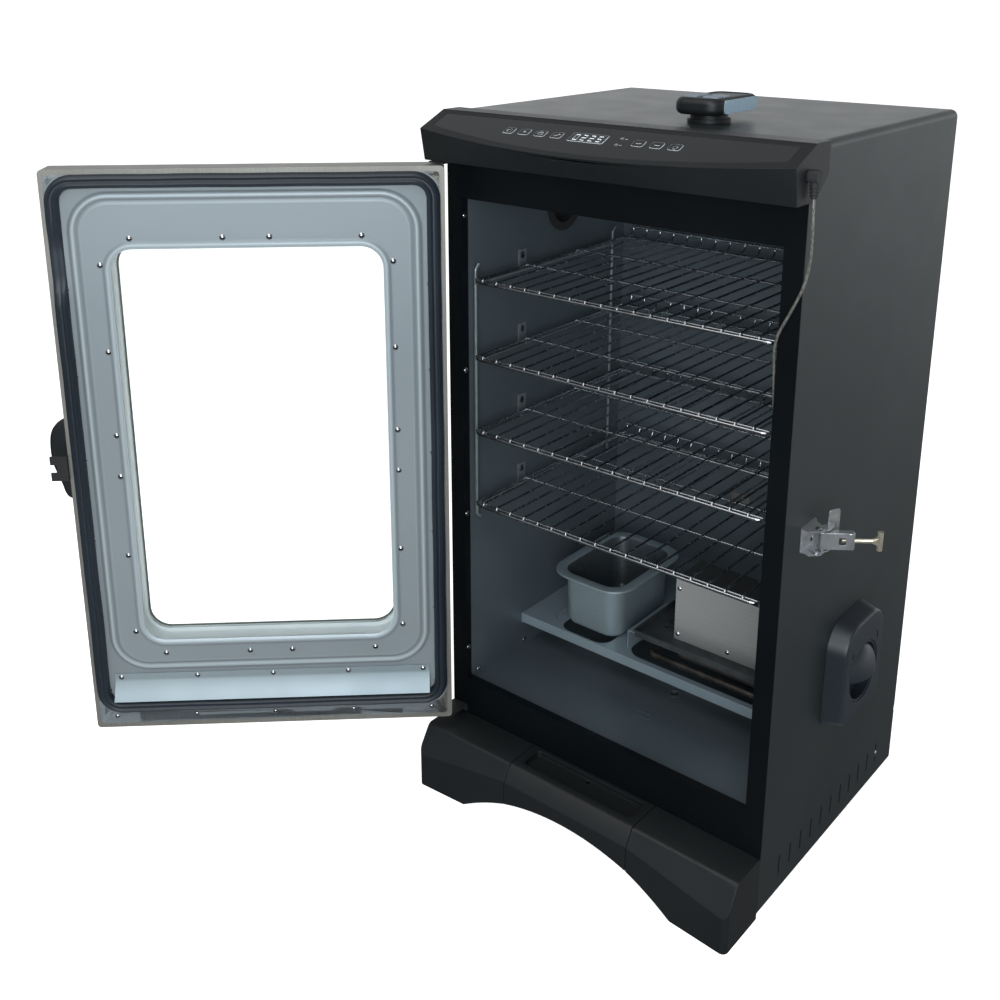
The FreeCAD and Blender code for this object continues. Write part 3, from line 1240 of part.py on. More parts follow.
def window_panes():
    """Inner and outer glass of the double window."""
    return Part.makeCompound([swung(pane(PANE_INNER_Y - GLASS)), swung(pane(PANE_OUTER_Y))])


def window_seal():
    """Rubber channel around the edge of each pane."""
    seals = []
    for low in (PANE_INNER_Y - GLASS, PANE_OUTER_Y):
        m = SEAL_MARGIN
        band = ring(
            "xz", -SEAL_HALF, SEAL_HALF, PANE_LOW - m, PANE_HIGH + m, 33, m + 3.5,
            low - 0.25, low + GLASS + 0.25,
        )
        seals.append(swung(band.cut(pane(low))))
    return Part.makeCompound(seals)


def window_frame():
    """Spacer frame that holds the two panes apart."""
    low = PANE_OUTER_Y + GLASS + 0.3
    high = PANE_INNER_Y - GLASS - 0.3
    m = SEAL_MARGIN
    return swung(ring("xz", -SEAL_HALF, SEAL_HALF, PANE_LOW - m, PANE_HIGH + m, 33, 1.5, low, high))


def door_insulation():
    """Insulating board inside the door, cut out around the window."""
    front = DOOR_OUTER + DOOR_SHEET + 1
    board = slab("xz", -212, 212, DOOR_LOW + 8, DOOR_HIGH - 7, 4, front, PANEL_FACE - 4.5)
    m = SEAL_MARGIN + 1.5
    window = slab(
        "xz", -SEAL_HALF - 1.5, SEAL_HALF + 1.5, PANE_LOW - m, PANE_HIGH + m, 34.5, DOOR_OUTER, DOOR_INNER
    )
    rivets = ring("xz", -166, 166, 187, 714, 34, 12, PANEL_FACE - 9, DOOR_INNER)
    hinge_room = box(-219, -168, DOOR_OUTER, DOOR_INNER, DOOR_LOW, DOOR_LOW + 24)
    hinge_room_top = box(-219, -168, DOOR_OUTER, DOOR_INNER, DOOR_HIGH - 24, DOOR_HIGH)
    handle_room = box(196, 208, DOOR_OUTER, DOOR_OUTER + 12, 395, 470)
    strike_room = box(208, 219, -206, -192, 424, 453)
    return swung(cut(board, [window, rivets, hinge_room, hinge_room_top, handle_room, strike_room]))


def door_gasket():
    """Soft door seal that meets the front frame, eased where the probe lead crosses it."""
    band = ring(
        "xz", -GASKET_OUTER, GASKET_OUTER, 115.0, 776.6, 27, GASKET_WIDTH, PANEL_FACE + 0.05, GASKET_FACE
    )
    return swung(band.cut(smooth_rod(lead_points(), LEAD_RADIUS + 0.3)))


def drip_lip():
    """Bent strip below the window that sheds drips into the chamber."""
    face = PANEL_FACE + 0.05
    outline = [
        (face, 164.5),
        (face + 1.0, 164.5),
        (face + 1.0, 154.5),
        (-168.6, 133.0),
        (-169.6, 132.4),
        (face, 153.8),
    ]
    lip = prism("yz", outline, -192, 192)
    holes = [disc(Y_AXIS, V(x, PANEL_FACE - 3, LIP_RIVET_Z), SHANK_HOLE, 8) for x in LIP_RIVET_X]
    return swung(cut(lip, holes))




def door_handle():
    """Moulded grip on the door's face that reaches past its free edge."""
    face = DOOR_OUTER - 0.05
    tip = [
        V(206, 0, 480.0),
        V(231, 0, 483.0),
        V(245, 0, 473.0),
        V(251.3, 0, 449.0),
        V(249.5, 0, 424.0),
        V(241.5, 0, 398.0),
        V(235.0, 0, 383.0),
        V(229, 0, 380.5),
        V(206, 0, 384.0),
    ]
    curve = Part.BSplineCurve()
    curve.interpolate(tip)
    outline = Part.Wire([curve.toShape(), Part.makeLine(tip[-1], tip[0])])
    outline.translate(V(0, HANDLE_FRONT + 2, 0))
    grip = Part.Face(outline).extrude(V(0, 12.0, 0))
    long_edges = [edge for edge in grip.Edges if edge.Length > 100 and edge.BoundBox.YLength < 0.1]
    grip = grip.makeFillet(4.0, long_edges)
    block = slab("xz", 188, 218, 386, 478, 9, HANDLE_FRONT, face)
    block_edges = [edge for edge in block.Edges if edge.BoundBox.YMax < HANDLE_FRONT + 0.01]
    block = block.makeFillet(3.0, block_edges)
    grip = grip.fuse(block).removeSplitter()
    holes = []
    for z in HANDLE_SCREW_Z:
        bore = HANDLE_BORE_FLOOR - HANDLE_FRONT
        holes.append(disc(Y_AXIS, V(HANDLE_SCREW_X, HANDLE_FRONT - 1, z), 2.1, 30))
        holes.append(disc(Y_AXIS, V(HANDLE_SCREW_X, HANDLE_FRONT - 1, z), 4.5, bore + 1))
    return swung(cut(grip, holes))


def door_fasteners():
    """Screws and rivets of the door, each its own solid."""
    inward = Y_AXIS
    points = []
    for x in (-BORDER_SCREW_X, BORDER_SCREW_X):
        for z in BORDER_SCREW_Z:
            points.append(pan_head(V(x, PANEL_FACE + 0.02, z), inward, 3.0, 1.6, SHANK, 3.5))
    for x in ROW_SCREW_X:
        points.append(pan_head(V(x, DOOR_INNER + 0.02, ROW_SCREW_Z[0]), inward, 3.0, 1.6, SHANK, 3.5))
        points.append(pan_head(V(x, PANEL_FACE + 0.02, ROW_SCREW_Z[1]), inward, 3.0, 1.6, SHANK, 3.5))
    for x in (-RIVET_SIDE_X, RIVET_SIDE_X):
        for z in RIVET_SIDE_Z:
            points.append(pan_head(V(x, PLATEAU_FACE + 0.02, z), inward, 3.4, 1.6, SHANK, 6.0))
    for x in RIVET_ROW_X:
        for z in RIVET_ROW_Z:
            points.append(pan_head(V(x, PLATEAU_FACE + 0.02, z), inward, 3.4, 1.6, SHANK, 6.0))
    for x in LIP_RIVET_X:
        points.append(pan_head(V(x, PANEL_FACE + 1.07, LIP_RIVET_Z), inward, 3.2, 1.6, SHANK, 4.5))
    for z in HANDLE_SCREW_Z:
        head_y = HANDLE_BORE_FLOOR - 0.05
        points.append(pan_head(V(HANDLE_SCREW_X, head_y, z), inward * -1, 4.0, 2.4, 2.0, 15.0))
    for y, z in STRIKE_RIVETS:
        points.append(pan_head(V(DOOR_HALF + 1.67, y, z), X_AXIS, 3.2, 1.6, SHANK, 4.5))
    return Part.makeCompound([swung(p) for p in points])


def cabinet_fasteners():
    """Screws and rivets of the cabinet, each its own solid."""
    parts = []
    for z in FLANGE_SCREW_Z:
        parts.append(pan_head(V(-OPENING_HALF + 0.02, FLANGE_SCREW_Y, z), X_AXIS, 3.2, 1.6, SHANK, 4.0))
    for z in FLANGE_SCREW_Z[1:]:
        parts.append(pan_head(V(OPENING_HALF - 0.02, FLANGE_SCREW_Y, z), X_AXIS * -1, 3.2, 1.6, SHANK, 4.0))
    for side in (-1, 1):
        into = X_AXIS * -side
        wall = side * CHAMBER_HALF
        for y, z in WALL_SCREWS[:2]:
            parts.append(pan_head(V(wall - side * 0.02, y, z), into, 3.2, 1.6, SHANK, 3.4))
        y, z = WALL_SCREWS[2]
        parts.append(pan_head(V(wall - side * 1.25, y, z), into, 3.2, 1.6, SHANK, 4.6))
        for level in RACK_LEVELS:
            head = V(wall - side * 1.35, SUPPORT_SCREW_Y, level + SUPPORT_SCREW_RISE)
            parts.append(pan_head(head, into, 4.5, 1.7, SHANK, 4.6))
    for x, z in CHIP_RIVETS:
        length = 2.2 if x < 50 else 1.4
        parts.append(pan_head(V(x, CHIP_FRONT - 0.02, z), Y_AXIS * -1, 3.0, 1.5, SHANK, length))
    for x in (-BACK_SCREW_X, BACK_SCREW_X):
        for z in BACK_SCREW_Z:
            parts.append(pan_head(V(x, BACK + 0.02, z), Y_AXIS, 3.6, 1.8, SHANK, 5.0))
    for y, z in LATCH_RIVETS:
        parts.append(pan_head(V(HALF_WIDTH + 1.27, y, z), X_AXIS, 3.0, 1.2, SHANK, 4.5))
    high = LATCH_Z + LATCH_HALF
    low = LATCH_Z - LATCH_HALF
    parts.append(pan_head(V(LATCH_PIVOT_X, LATCH_PIVOT_Y, high + 0.02), Z_AXIS, 3.6, 1.4, 2.0, 2.9))
    parts.append(pan_head(V(LATCH_PIVOT_X, LATCH_PIVOT_Y, low - 0.02), Z_AXIS * -1, 3.6, 1.4, 2.0, 2.9))
    for side in (-1, 1):
        y = SLOT_FIRST + SLOT_PITCH * (SLOT_COUNT - 1)
        parts.append(pan_head(V(side * (HALF_WIDTH + 0.02), y, 39.5), X_AXIS * side, 3.4, 1.4, 1.3, 4.0))
    return Part.makeCompound(parts)


# ---------------------------------------------------------------- cord and meat probe



def power_cord():
    """Mains cord with a strain relief, hanging down the back to a moulded plug."""
    out = BACK + 1.0
    relief = disc(Y_AXIS, V(CORD_X, BACK - 6, CORD_Z), CORD_GROMMET - 0.1, 7.0)
    collar = disc(Y_AXIS, V(CORD_X, BACK + 0.95, CORD_Z), 11.0, 4.0)
    points = [
        V(CORD_X, BACK - 5, CORD_Z),
        V(CORD_X, out + 16, CORD_Z),
        V(CORD_X, out + 16, 116),
        V(CORD_X - 44, out + 16, 116),
        V(CORD_X - 44, out + 16, 200),
    ]
    cable = rod(points, 3.6, 11.0)
    plug = slab("xy", CORD_X - 57, CORD_X - 31, out + 7, out + 25, 8, 196, 232)
    blades = [box(CORD_X - 51, CORD_X - 49.4, out + 13, out + 19, 231, 247)]
    blades.append(box(CORD_X - 38.6, CORD_X - 37, out + 13, out + 19, 231, 247))
    blades.append(disc(Z_AXIS, V(CORD_X - 44, out + 21, 231), 2.2, 18))
    return fuse([relief, collar, cable, plug] + blades)


def probe_plug():
    """Right-angle plug of the meat probe in the end of the control housing."""
    tip = disc(X_AXIS, V(BEZEL_HALF - 5.5, PLUG_Y, PLUG_Z), 3.4, 7.5)
    head = slab("yz", PLUG_Y - 5, PLUG_Y + 5, PLUG_Z - 6, PLUG_Z + 6, 4, BEZEL_HALF + 0.2, BEZEL_HALF + 10)
    neck_x = BEZEL_HALF + 5.5
    neck = Part.makeCone(2.6, 4.2, 15, V(neck_x, PLUG_Y, PLUG_Z - 20), Z_AXIS)
    ribs = [disc(Z_AXIS, V(neck_x, PLUG_Y, PLUG_Z - 18.5 + 3 * i), 3.7 + 0.25 * i, 1.4) for i in range(4)]
    plug = fuse([tip, head, neck] + ribs)
    bore = disc(Z_AXIS, V(neck_x, PLUG_Y, PLUG_Z - 21), LEAD_RADIUS + 0.35, 9.0)
    return plug.cut(bore)


def lead_points():
    """Where the probe lead runs: down the side, through the door gap and into the chamber."""
    return [
        V(BEZEL_HALF + 5.5, PLUG_Y, PLUG_Z - 12.5),
        V(BEZEL_HALF + 5.6, PLUG_Y + 0.3, PLUG_Z - 24),
        V(BEZEL_HALF + 5.0, -186.5, 762),
        V(BEZEL_HALF + 1.6, LEAD_GAP_Y - 0.9, 728),
        V(219.5, LEAD_GAP_Y, 706),
        V(212.0, LEAD_GAP_Y, 688),
        V(203.5, LEAD_GAP_Y, 670),
        V(197.6, LEAD_GAP_Y, 656),
        V(195.4, LEAD_GAP_Y + 0.8, 645),
        V(194.7, -176.6, 630),
        V(194.6, -173.4, 605),
        V(195.0, -168.8, 572),
        V(195.2, -165.8, 549),
    ]


def probe_cable():
    """Braided lead of the meat probe."""
    return smooth_rod(lead_points(), LEAD_RADIUS)


def probe_needle():
    """Steel needle of the meat probe, hanging inside the chamber."""
    x = 195.2
    y = -165.8
    handle = disc(Z_AXIS, V(x, y, 522), 1.95, 26.8)
    needle = disc(Z_AXIS, V(x, y, 442), 1.4, 81)
    tip = Part.makeCone(0.2, 1.4, 6, V(x, y, 436.5), Z_AXIS)
    return fuse([handle, needle, tip])


# ---------------------------------------------------------------- remote control



def key_centre(name):
    """The middle of one key on the remote's top."""
    column, row = KEY_SPOTS[name]
    return REMOTE_X + 11.5 * column, REMOTE_Y - 30 + 17.0 * row


def remote_case():
    """Handheld remote with a round foot that stands on the cabinet's top."""
    x0 = REMOTE_X - REMOTE_HALF_X
    x1 = REMOTE_X + REMOTE_HALF_X
    y0 = REMOTE_Y - REMOTE_HALF_Y
    y1 = REMOTE_Y + REMOTE_HALF_Y
    middle = (REMOTE_LOW + REMOTE_HIGH) / 2
    case = slab("xy", x0, x1, y0, y1, 16, REMOTE_LOW, REMOTE_HIGH)
    rims = [e for e in case.Edges if e.BoundBox.ZLength < 0.01]
    case = case.makeFillet(6.5, rims)
    foot = disc(Z_AXIS, V(REMOTE_X, REMOTE_Y - 14, TOP + 3.0), 19, REMOTE_LOW - TOP - 2.5)
    disc_foot = disc(Z_AXIS, V(REMOTE_X, REMOTE_Y - 14, TOP + 0.05), 22, 4.0)
    case = fuse([case, foot, disc_foot])
    tools = [trim_band(0.3, middle)]
    for name in KEY_SPOTS:
        x, y = key_centre(name)
        tools.append(slab("xy", x - 9.1, x + 9.1, y - 6.6, y + 6.6, 3.2, REMOTE_HIGH - 4, REMOTE_HIGH + 2))
    tools.append(slab("xy", x0 + 9, x1 - 9, REMOTE_Y + 8, y1 - 9, 3, REMOTE_HIGH - 0.8, REMOTE_HIGH + 2))
    return cut(case, tools)


def trim_band(grow, middle):
    """The volume of the pale side trim, a little larger when grow is above zero."""
    x1 = REMOTE_X + REMOTE_HALF_X
    return slab(
        "yz",
        REMOTE_Y - REMOTE_HALF_Y + 14 - grow,
        REMOTE_Y + REMOTE_HALF_Y - 12 + grow,
        middle - 7.0 - grow,
        middle + 6.4 + grow,
        5.5,
        x1 - 3.0 - grow,
        x1 + 5,
    )


def remote_trim():
    """Pale ribbed grip along the remote's side."""
    middle = (REMOTE_LOW + REMOTE_HIGH) / 2
    x1 = REMOTE_X + REMOTE_HALF_X
    band = trim_band(0, middle).common(box(x1 - 5, x1 + 0.4, -300, 100, 800, 900))
    grooves = []
    for y in spread(REMOTE_Y - 28, REMOTE_Y + 30, 20):
        grooves.append(box(x1 - 0.1, x1 + 1, y - 0.5, y + 0.5, 840, 880))
    return cut(band, grooves)


def remote_key(name):
    """One rubber key of the remote."""
    x, y = key_centre(name)
    key = slab("xy", x - 8.6, x + 8.6, y - 6.1, y + 6.1, 3.0, REMOTE_HIGH - 2.8, KEY_TOP)
    top_edges = [e for e in key.Edges if e.BoundBox.ZMin > KEY_TOP - 0.01]
    return key.makeFillet(0.8, top_edges)


# ---------------------------------------------------------------- write every part

PARTS = {
    "outer_shell": outer_shell,
    "back_panel": back_panel,
    "front_frame": front_frame,
    "inner_liner": inner_liner,
    "cabinet_insulation": cabinet_insulation,
    "bottom_plate": bottom_plate,
    "base_skirt": base_skirt,
    "left_front_foot": lambda: mirrored(front_foot()),
    "right_front_foot": front_foot,
    "rear_feet": rear_feet,
    "drip_tray": drip_tray,
    "control_housing": control_housing,
    "control_panel": control_panel,
    "display_window": display_window,
    "circuit_board": circuit_board,
    "element_shelf": element_shelf,
    "heating_element": heating_element,
    "chip_housing": chip_housing,
    "chip_tray": chip_tray,
    "water_pan": water_pan,
    "rack_supports": rack_supports,
    "temperature_sensor": temperature_sensor,
    "loader_housing": loader_housing,
    "loader_ring": loader_ring,
    "loader_knob": loader_knob,
    "chip_scoop": chip_scoop,
    "exhaust_collar": exhaust_collar,
    "vent_damper": vent_damper,
    "hinge_brackets": hinge_brackets,
    "hinge_plates": hinge_plates,
    "latch_base": latch_base,
    "latch_lever": latch_lever,
    "latch_link": latch_link,
    "t_bolt": t_bolt,
    "latch_strike": latch_strike,
    "door_skin": door_skin,
    "door_inner_panel": door_inner_panel,
    "door_insulation": door_insulation,
    "window_panes": window_panes,
    "window_seal": window_seal,
    "window_frame": window_frame,
    "door_gasket": door_gasket,
    "drip_lip": drip_lip,
    "door_handle": door_handle,
    "door_fasteners": door_fasteners,
    "cabinet_fasteners": cabinet_fasteners,
    "power_cord": power_cord,
    "probe_plug": probe_plug,
    "probe_cable": probe_cable,
    "probe_needle": probe_needle,
    "remote_case": remote_case,
    "remote_trim": remote_trim,
}


def export(name, shape):
    """Write one part as a STEP file, measured from the origin."""
    placed = shape.translated(V(-ORIGIN_X, -ORIGIN_Y, 0))
    placed.exportStep(os.path.join("parts", name + ".step"))


os.makedirs("parts", exist_ok=True)
for part_name, build in PARTS.items():
    export(part_name, build())
top_rack = rack(RACK_LEVELS[0])
for number, rack_level in enumerate(RACK_LEVELS, start=1):
    lowered = top_rack.copy()
    lowered.translate(V(0, 0, rack_level - RACK_LEVELS[0]))
    export(f"rack_{number}", lowered)
for key_name in KEY_SPOTS:
    export(f"remote_key_{key_name}", remote_key(key_name))
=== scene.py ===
import json
import math

import bmesh
import bpy
from mathutils import Matrix, Vector, noise
from mathutils.bvhtree import BVHTree


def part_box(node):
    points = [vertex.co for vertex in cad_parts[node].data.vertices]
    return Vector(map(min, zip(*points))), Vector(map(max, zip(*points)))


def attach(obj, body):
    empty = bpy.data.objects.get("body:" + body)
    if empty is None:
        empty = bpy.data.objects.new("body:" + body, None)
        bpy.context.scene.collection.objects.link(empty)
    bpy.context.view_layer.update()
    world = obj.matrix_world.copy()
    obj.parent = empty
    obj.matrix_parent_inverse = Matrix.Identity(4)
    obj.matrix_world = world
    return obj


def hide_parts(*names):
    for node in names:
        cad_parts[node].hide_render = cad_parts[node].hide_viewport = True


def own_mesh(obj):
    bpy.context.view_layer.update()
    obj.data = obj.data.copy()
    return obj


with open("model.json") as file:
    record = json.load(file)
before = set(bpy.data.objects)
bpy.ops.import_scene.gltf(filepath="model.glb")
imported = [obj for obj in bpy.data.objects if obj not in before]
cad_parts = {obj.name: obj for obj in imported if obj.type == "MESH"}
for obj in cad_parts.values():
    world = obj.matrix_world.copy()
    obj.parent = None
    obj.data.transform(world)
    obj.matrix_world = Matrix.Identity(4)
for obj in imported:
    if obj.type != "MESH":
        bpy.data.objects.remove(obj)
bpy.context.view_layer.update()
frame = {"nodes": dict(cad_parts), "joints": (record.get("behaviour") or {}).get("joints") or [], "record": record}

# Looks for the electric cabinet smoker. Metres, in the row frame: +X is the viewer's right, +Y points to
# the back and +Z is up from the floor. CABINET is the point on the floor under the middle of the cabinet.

nodes = frame["nodes"]

MM = 0.001
SHELL_LOW, SHELL_HIGH = (Vector(corner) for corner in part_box("outer_shell"))
CABINET = Vector(((SHELL_LOW.x + SHELL_HIGH.x) / 2, (SHELL_LOW.y + SHELL_HIGH.y) / 2, 0))

# The camera stands in front and to the right, measured from CABINET; angles in degrees, lens in millimetres.
CAMERA_PLACE = Vector((0.6874, -1.175, 0.9852))
CAMERA_YAW = 40.263
CAMERA_PITCH = 16.63
CAMERA_ROLL = -0.177
CAMERA_LENS = 43.2
CAMERA_SHIFT = (0.0103, -0.1699)

# The turn about the hinge that carries the closed door to where it stands open at rest.
HINGE = next(joint for joint in frame["joints"] if joint["name"] == "door_hinge")
DOOR_SWING = math.radians(HINGE["range_deg"][0])

# Faces that meet at a flatter angle than this, in degrees, shade as one curved surface.
CAD_SMOOTH_ANGLE = 32
PIECE_SMOOTH_ANGLE = 38
# Vertices closer than this are one vertex.
SAME_POINT = 1e-6


# ---------------------------------------------------------------- materials


def new_material(name):
    """A material with its node tree, its main shader and object coordinates."""
    material = bpy.data.materials.new(name)
    material.use_nodes = True
    tree = material.node_tree
    coords = tree.nodes.new("ShaderNodeTexCoord").outputs["Object"]
    return material, tree, tree.nodes["Principled BSDF"], coords


def noise_field(tree, coords, scale, detail=3.0, stretch=(1, 1, 1), turn=(0, 0, 0)):
    """A noise value over the surface; a small stretch draws the noise out along that axis."""
    mapping = tree.nodes.new("ShaderNodeMapping")
    mapping.inputs["Scale"].default_value = stretch
    mapping.inputs["Rotation"].default_value = turn
    field = tree.nodes.new("ShaderNodeTexNoise")
    field.inputs["Scale"].default_value = scale
    field.inputs["Detail"].default_value = detail
    tree.links.new(coords, mapping.inputs["Vector"])
    tree.links.new(mapping.outputs["Vector"], field.inputs["Vector"])
    return field.outputs["Fac"]


def ranged(tree, value, low, high, start=0.3, end=0.7):
    """A value between start and end, remapped to run from low to high."""
    remap = tree.nodes.new("ShaderNodeMapRange")
    remap.inputs["From Min"].default_value = start
    remap.inputs["From Max"].default_value = end
    remap.inputs["To Min"].default_value = low
    remap.inputs["To Max"].default_value = high
    tree.links.new(value, remap.inputs["Value"])
    return remap.outputs["Result"]


def mixed_colour(tree, value, first, second):
    """A colour between two colours."""
    mix = tree.nodes.new("ShaderNodeMix")
    mix.data_type = "RGBA"
    mix.inputs["A"].default_value = (*first, 1)
    mix.inputs["B"].default_value = (*second, 1)
    tree.links.new(value, mix.inputs["Factor"])
    return mix.outputs["Result"]


def add_bump(tree, shader, value, strength, distance):
    """Surface relief from a value, on top of any relief already there."""
    bump = tree.nodes.new("ShaderNodeBump")
    bump.inputs["Strength"].default_value = strength
    bump.inputs["Distance"].default_value = distance
    tree.links.new(value, bump.inputs["Height"])
    before = shader.inputs["Normal"].links
    if before:
        tree.links.new(before[0].from_socket, bump.inputs["Normal"])
    tree.links.new(bump.outputs["Normal"], shader.inputs["Normal"])


BEVEL_SAMPLES = 6


def soften_edges(tree, shader, radius):
    """Rounds the shading of folds and rims, so that they catch a thin line of light."""
    bevel = tree.nodes.new("ShaderNodeBevel")
    bevel.samples = BEVEL_SAMPLES
    bevel.inputs["Radius"].default_value = radius
    tree.links.new(bevel.outputs["Normal"], shader.inputs["Normal"])


SMUDGE_SCALE = 4.3


def surface(
    name,
    dark,
    light,
    rough,
    metal=0.0,
    cloud=5.0,
    grain=1400.0,
    relief=0.15,
    depth=0.2 * MM,
    coat=0.0,
    wear=0.05,
    gloss=0.5,
    edge=0.0,
):
    """A painted, moulded or rolled surface: soft drifts of colour and gloss over a fine grain."""
    material, tree, shader, coords = new_material(name)
    if edge:
        soften_edges(tree, shader, edge)
    shader.inputs["Specular IOR Level"].default_value = gloss
    clouds = noise_field(tree, coords, cloud, detail=4.0)
    fine = noise_field(tree, coords, grain, detail=2.0)
    tone = mixed_colour(tree, ranged(tree, clouds, 0, 1), dark, light)
    tree.links.new(tone, shader.inputs["Base Color"])
    smudges = noise_field(tree, coords, cloud * SMUDGE_SCALE, detail=5.0)
    haze = ranged(tree, smudges, rough * (1 - wear), rough * (1 + wear))
    tree.links.new(haze, shader.inputs["Roughness"])
    shader.inputs["Metallic"].default_value = metal
    shader.inputs["Coat Weight"].default_value = coat
    shader.inputs["Coat Roughness"].default_value = 0.15
    add_bump(tree, shader, fine, relief, depth)
    return material


def tinted(tree, shader, amount, tint):
    """Blends a tint over the shader's base colour wherever amount is high."""
    mix = tree.nodes.new("ShaderNodeMix")
    mix.data_type = "RGBA"
    tree.links.new(amount, mix.inputs["Factor"])
    tree.links.new(shader.inputs["Base Color"].links[0].from_socket, mix.inputs["A"])
    mix.inputs["B"].default_value = (*tint, 1)
    tree.links.new(mix.outputs["Result"], shader.inputs["Base Color"])


def pressed_sheet(name, dark, light, crest_highlight, crease_shade):
    """Pressed sheet metal with a painted highlight on its crests and a painted shade in its creases.

    Pointiness is one half on flat sheet, higher on a crest and lower in a crease.
    """
    material = surface(name, dark, light, rough=0.5, metal=0.4, cloud=2.5, relief=0.06)
    tree = material.node_tree
    shader = tree.nodes["Principled BSDF"]
    folds = tree.nodes.new("ShaderNodeNewGeometry").outputs["Pointiness"]
    # Painted highlight on the crests and painted shade in the creases, blended in by pointiness.
    tinted(tree, shader, ranged(tree, folds, 0, 1, start=0.505, end=0.56), crest_highlight)
    tinted(tree, shader, ranged(tree, folds, 1, 0, start=0.44, end=0.495), crease_shade)
    return material


def brushed(name, dark, light, rough, stretch, metal=1.0, relief=0.12, painted_top_shade=None):
    """Metal with long fine brush lines along the axis that stretch leaves small, with a painted shade on its
    upward faces if asked.
    """
    material, tree, shader, coords = new_material(name)
    lines = noise_field(tree, coords, scale=900.0, stretch=stretch)
    clouds = noise_field(tree, coords, scale=7.0, detail=4.0)
    tree.links.new(mixed_colour(tree, ranged(tree, lines, 0, 1), dark, light), shader.inputs["Base Color"])
    if painted_top_shade:
        # Upward faces are darkened towards a painted shade colour.
        normal = tree.nodes.new("ShaderNodeNewGeometry").outputs["Normal"]
        split = tree.nodes.new("ShaderNodeSeparateXYZ")
        tree.links.new(normal, split.inputs["Vector"])
        top_shade_mask = ranged(tree, split.outputs["Z"], 0, 0.92, start=0.4, end=0.9)
        tinted(tree, shader, top_shade_mask, painted_top_shade)
    tree.links.new(ranged(tree, clouds, rough * 0.8, rough * 1.2), shader.inputs["Roughness"])
    shader.inputs["Metallic"].default_value = metal
    add_bump(tree, shader, lines, relief, distance=0.2 * MM)
    return material


def chrome(name, tone, rough):
    """Bright plated metal with faint haze."""
    material, tree, shader, coords = new_material(name)
    haze = noise_field(tree, coords, scale=120.0)
    darker = tuple(c * 0.86 for c in tone)
    tree.links.new(mixed_colour(tree, ranged(tree, haze, 0, 1), darker, tone), shader.inputs["Base Color"])
    tree.links.new(ranged(tree, haze, rough * 0.6, rough * 1.4), shader.inputs["Roughness"])
    shader.inputs["Metallic"].default_value = 1.0
    return material


def window_glass():
    """Clear glass: the view passes straight through under a thin reflection."""
    material, tree, shader, coords = new_material("clear_glass")
    wave = noise_field(tree, coords, scale=9.0, detail=2.0)
    see_through = tree.nodes.new("ShaderNodeBsdfTransparent")
    tint = mixed_colour(tree, ranged(tree, wave, 0, 1), (0.975, 0.99, 0.985), (0.99, 1.0, 0.995))
    tree.links.new(tint, see_through.inputs["Color"])
    gloss = tree.nodes.new("ShaderNodeBsdfGlossy")
    tree.links.new(ranged(tree, wave, 0.02, 0.05), gloss.inputs["Roughness"])
    grazing = tree.nodes.new("ShaderNodeLayerWeight")
    grazing.inputs["Blend"].default_value = 0.12
    mix = tree.nodes.new("ShaderNodeMixShader")
    shine = ranged(tree, grazing.outputs["Fresnel"], 0.01, 0.6, start=0.0, end=1.0)
    tree.links.new(shine, mix.inputs["Fac"])
    tree.links.new(see_through.outputs["BSDF"], mix.inputs[1])
    tree.links.new(gloss.outputs["BSDF"], mix.inputs[2])
    tree.links.new(mix.outputs["Shader"], tree.nodes["Material Output"].inputs["Surface"])
    tree.nodes.remove(shader)
    return material


def enamel(name, dark, light, rough):
    """Speckled grey enamel."""
    material, tree, shader, coords = new_material(name)
    cells = tree.nodes.new("ShaderNodeTexVoronoi")
    cells.inputs["Scale"].default_value = 700.0
    tree.links.new(coords, cells.inputs["Vector"])
    flecks = ranged(tree, cells.outputs["Distance"], 0.0, 1.0, start=0.25, end=0.5)
    tree.links.new(mixed_colour(tree, flecks, dark, light), shader.inputs["Base Color"])
    clouds = noise_field(tree, coords, scale=20.0, detail=4.0)
    tree.links.new(ranged(tree, clouds, rough * 0.8, rough * 1.25), shader.inputs["Roughness"])
    shader.inputs["Metallic"].default_value = 0.55
    add_bump(tree, shader, noise_field(tree, coords, scale=500.0), strength=0.05, distance=0.2 * MM)
    return material


def braid(name, pitch):
    """Woven steel braid: two crossing sets of waves."""
    material, tree, shader, coords = new_material(name)
    weave = tree.nodes.new("ShaderNodeMath")
    weave.operation = "MAXIMUM"
    for way, lean in enumerate((0.5, -0.5)):
        strands = noise_field(tree, coords, pitch, 1.0, stretch=(1, 1, 0.35), turn=(lean, lean, 0))
        tree.links.new(strands, weave.inputs[way])
    tone = ranged(tree, weave.outputs["Value"], 0, 1)
    weave_colour = mixed_colour(tree, tone, (0.12, 0.12, 0.12), (0.55, 0.54, 0.50))
    tree.links.new(weave_colour, shader.inputs["Base Color"])
    shader.inputs["Metallic"].default_value = 0.9
    shader.inputs["Roughness"].default_value = 0.38
    add_bump(tree, shader, weave.outputs["Value"], strength=0.5, distance=0.4 * MM)
    return material


def glowing(name, colour, strength):
    """Lit digits behind the lens."""
    material, tree, shader, coords = new_material(name)
    flicker = noise_field(tree, coords, scale=800.0, detail=1.0)
    tone = mixed_colour(tree, ranged(tree, flicker, 0, 1), tuple(c * 0.85 for c in colour), colour)
    tree.links.new(tone, shader.inputs["Base Color"])
    tree.links.new(tone, shader.inputs["Emission Color"])
    shader.inputs["Emission Strength"].default_value = strength
    return material


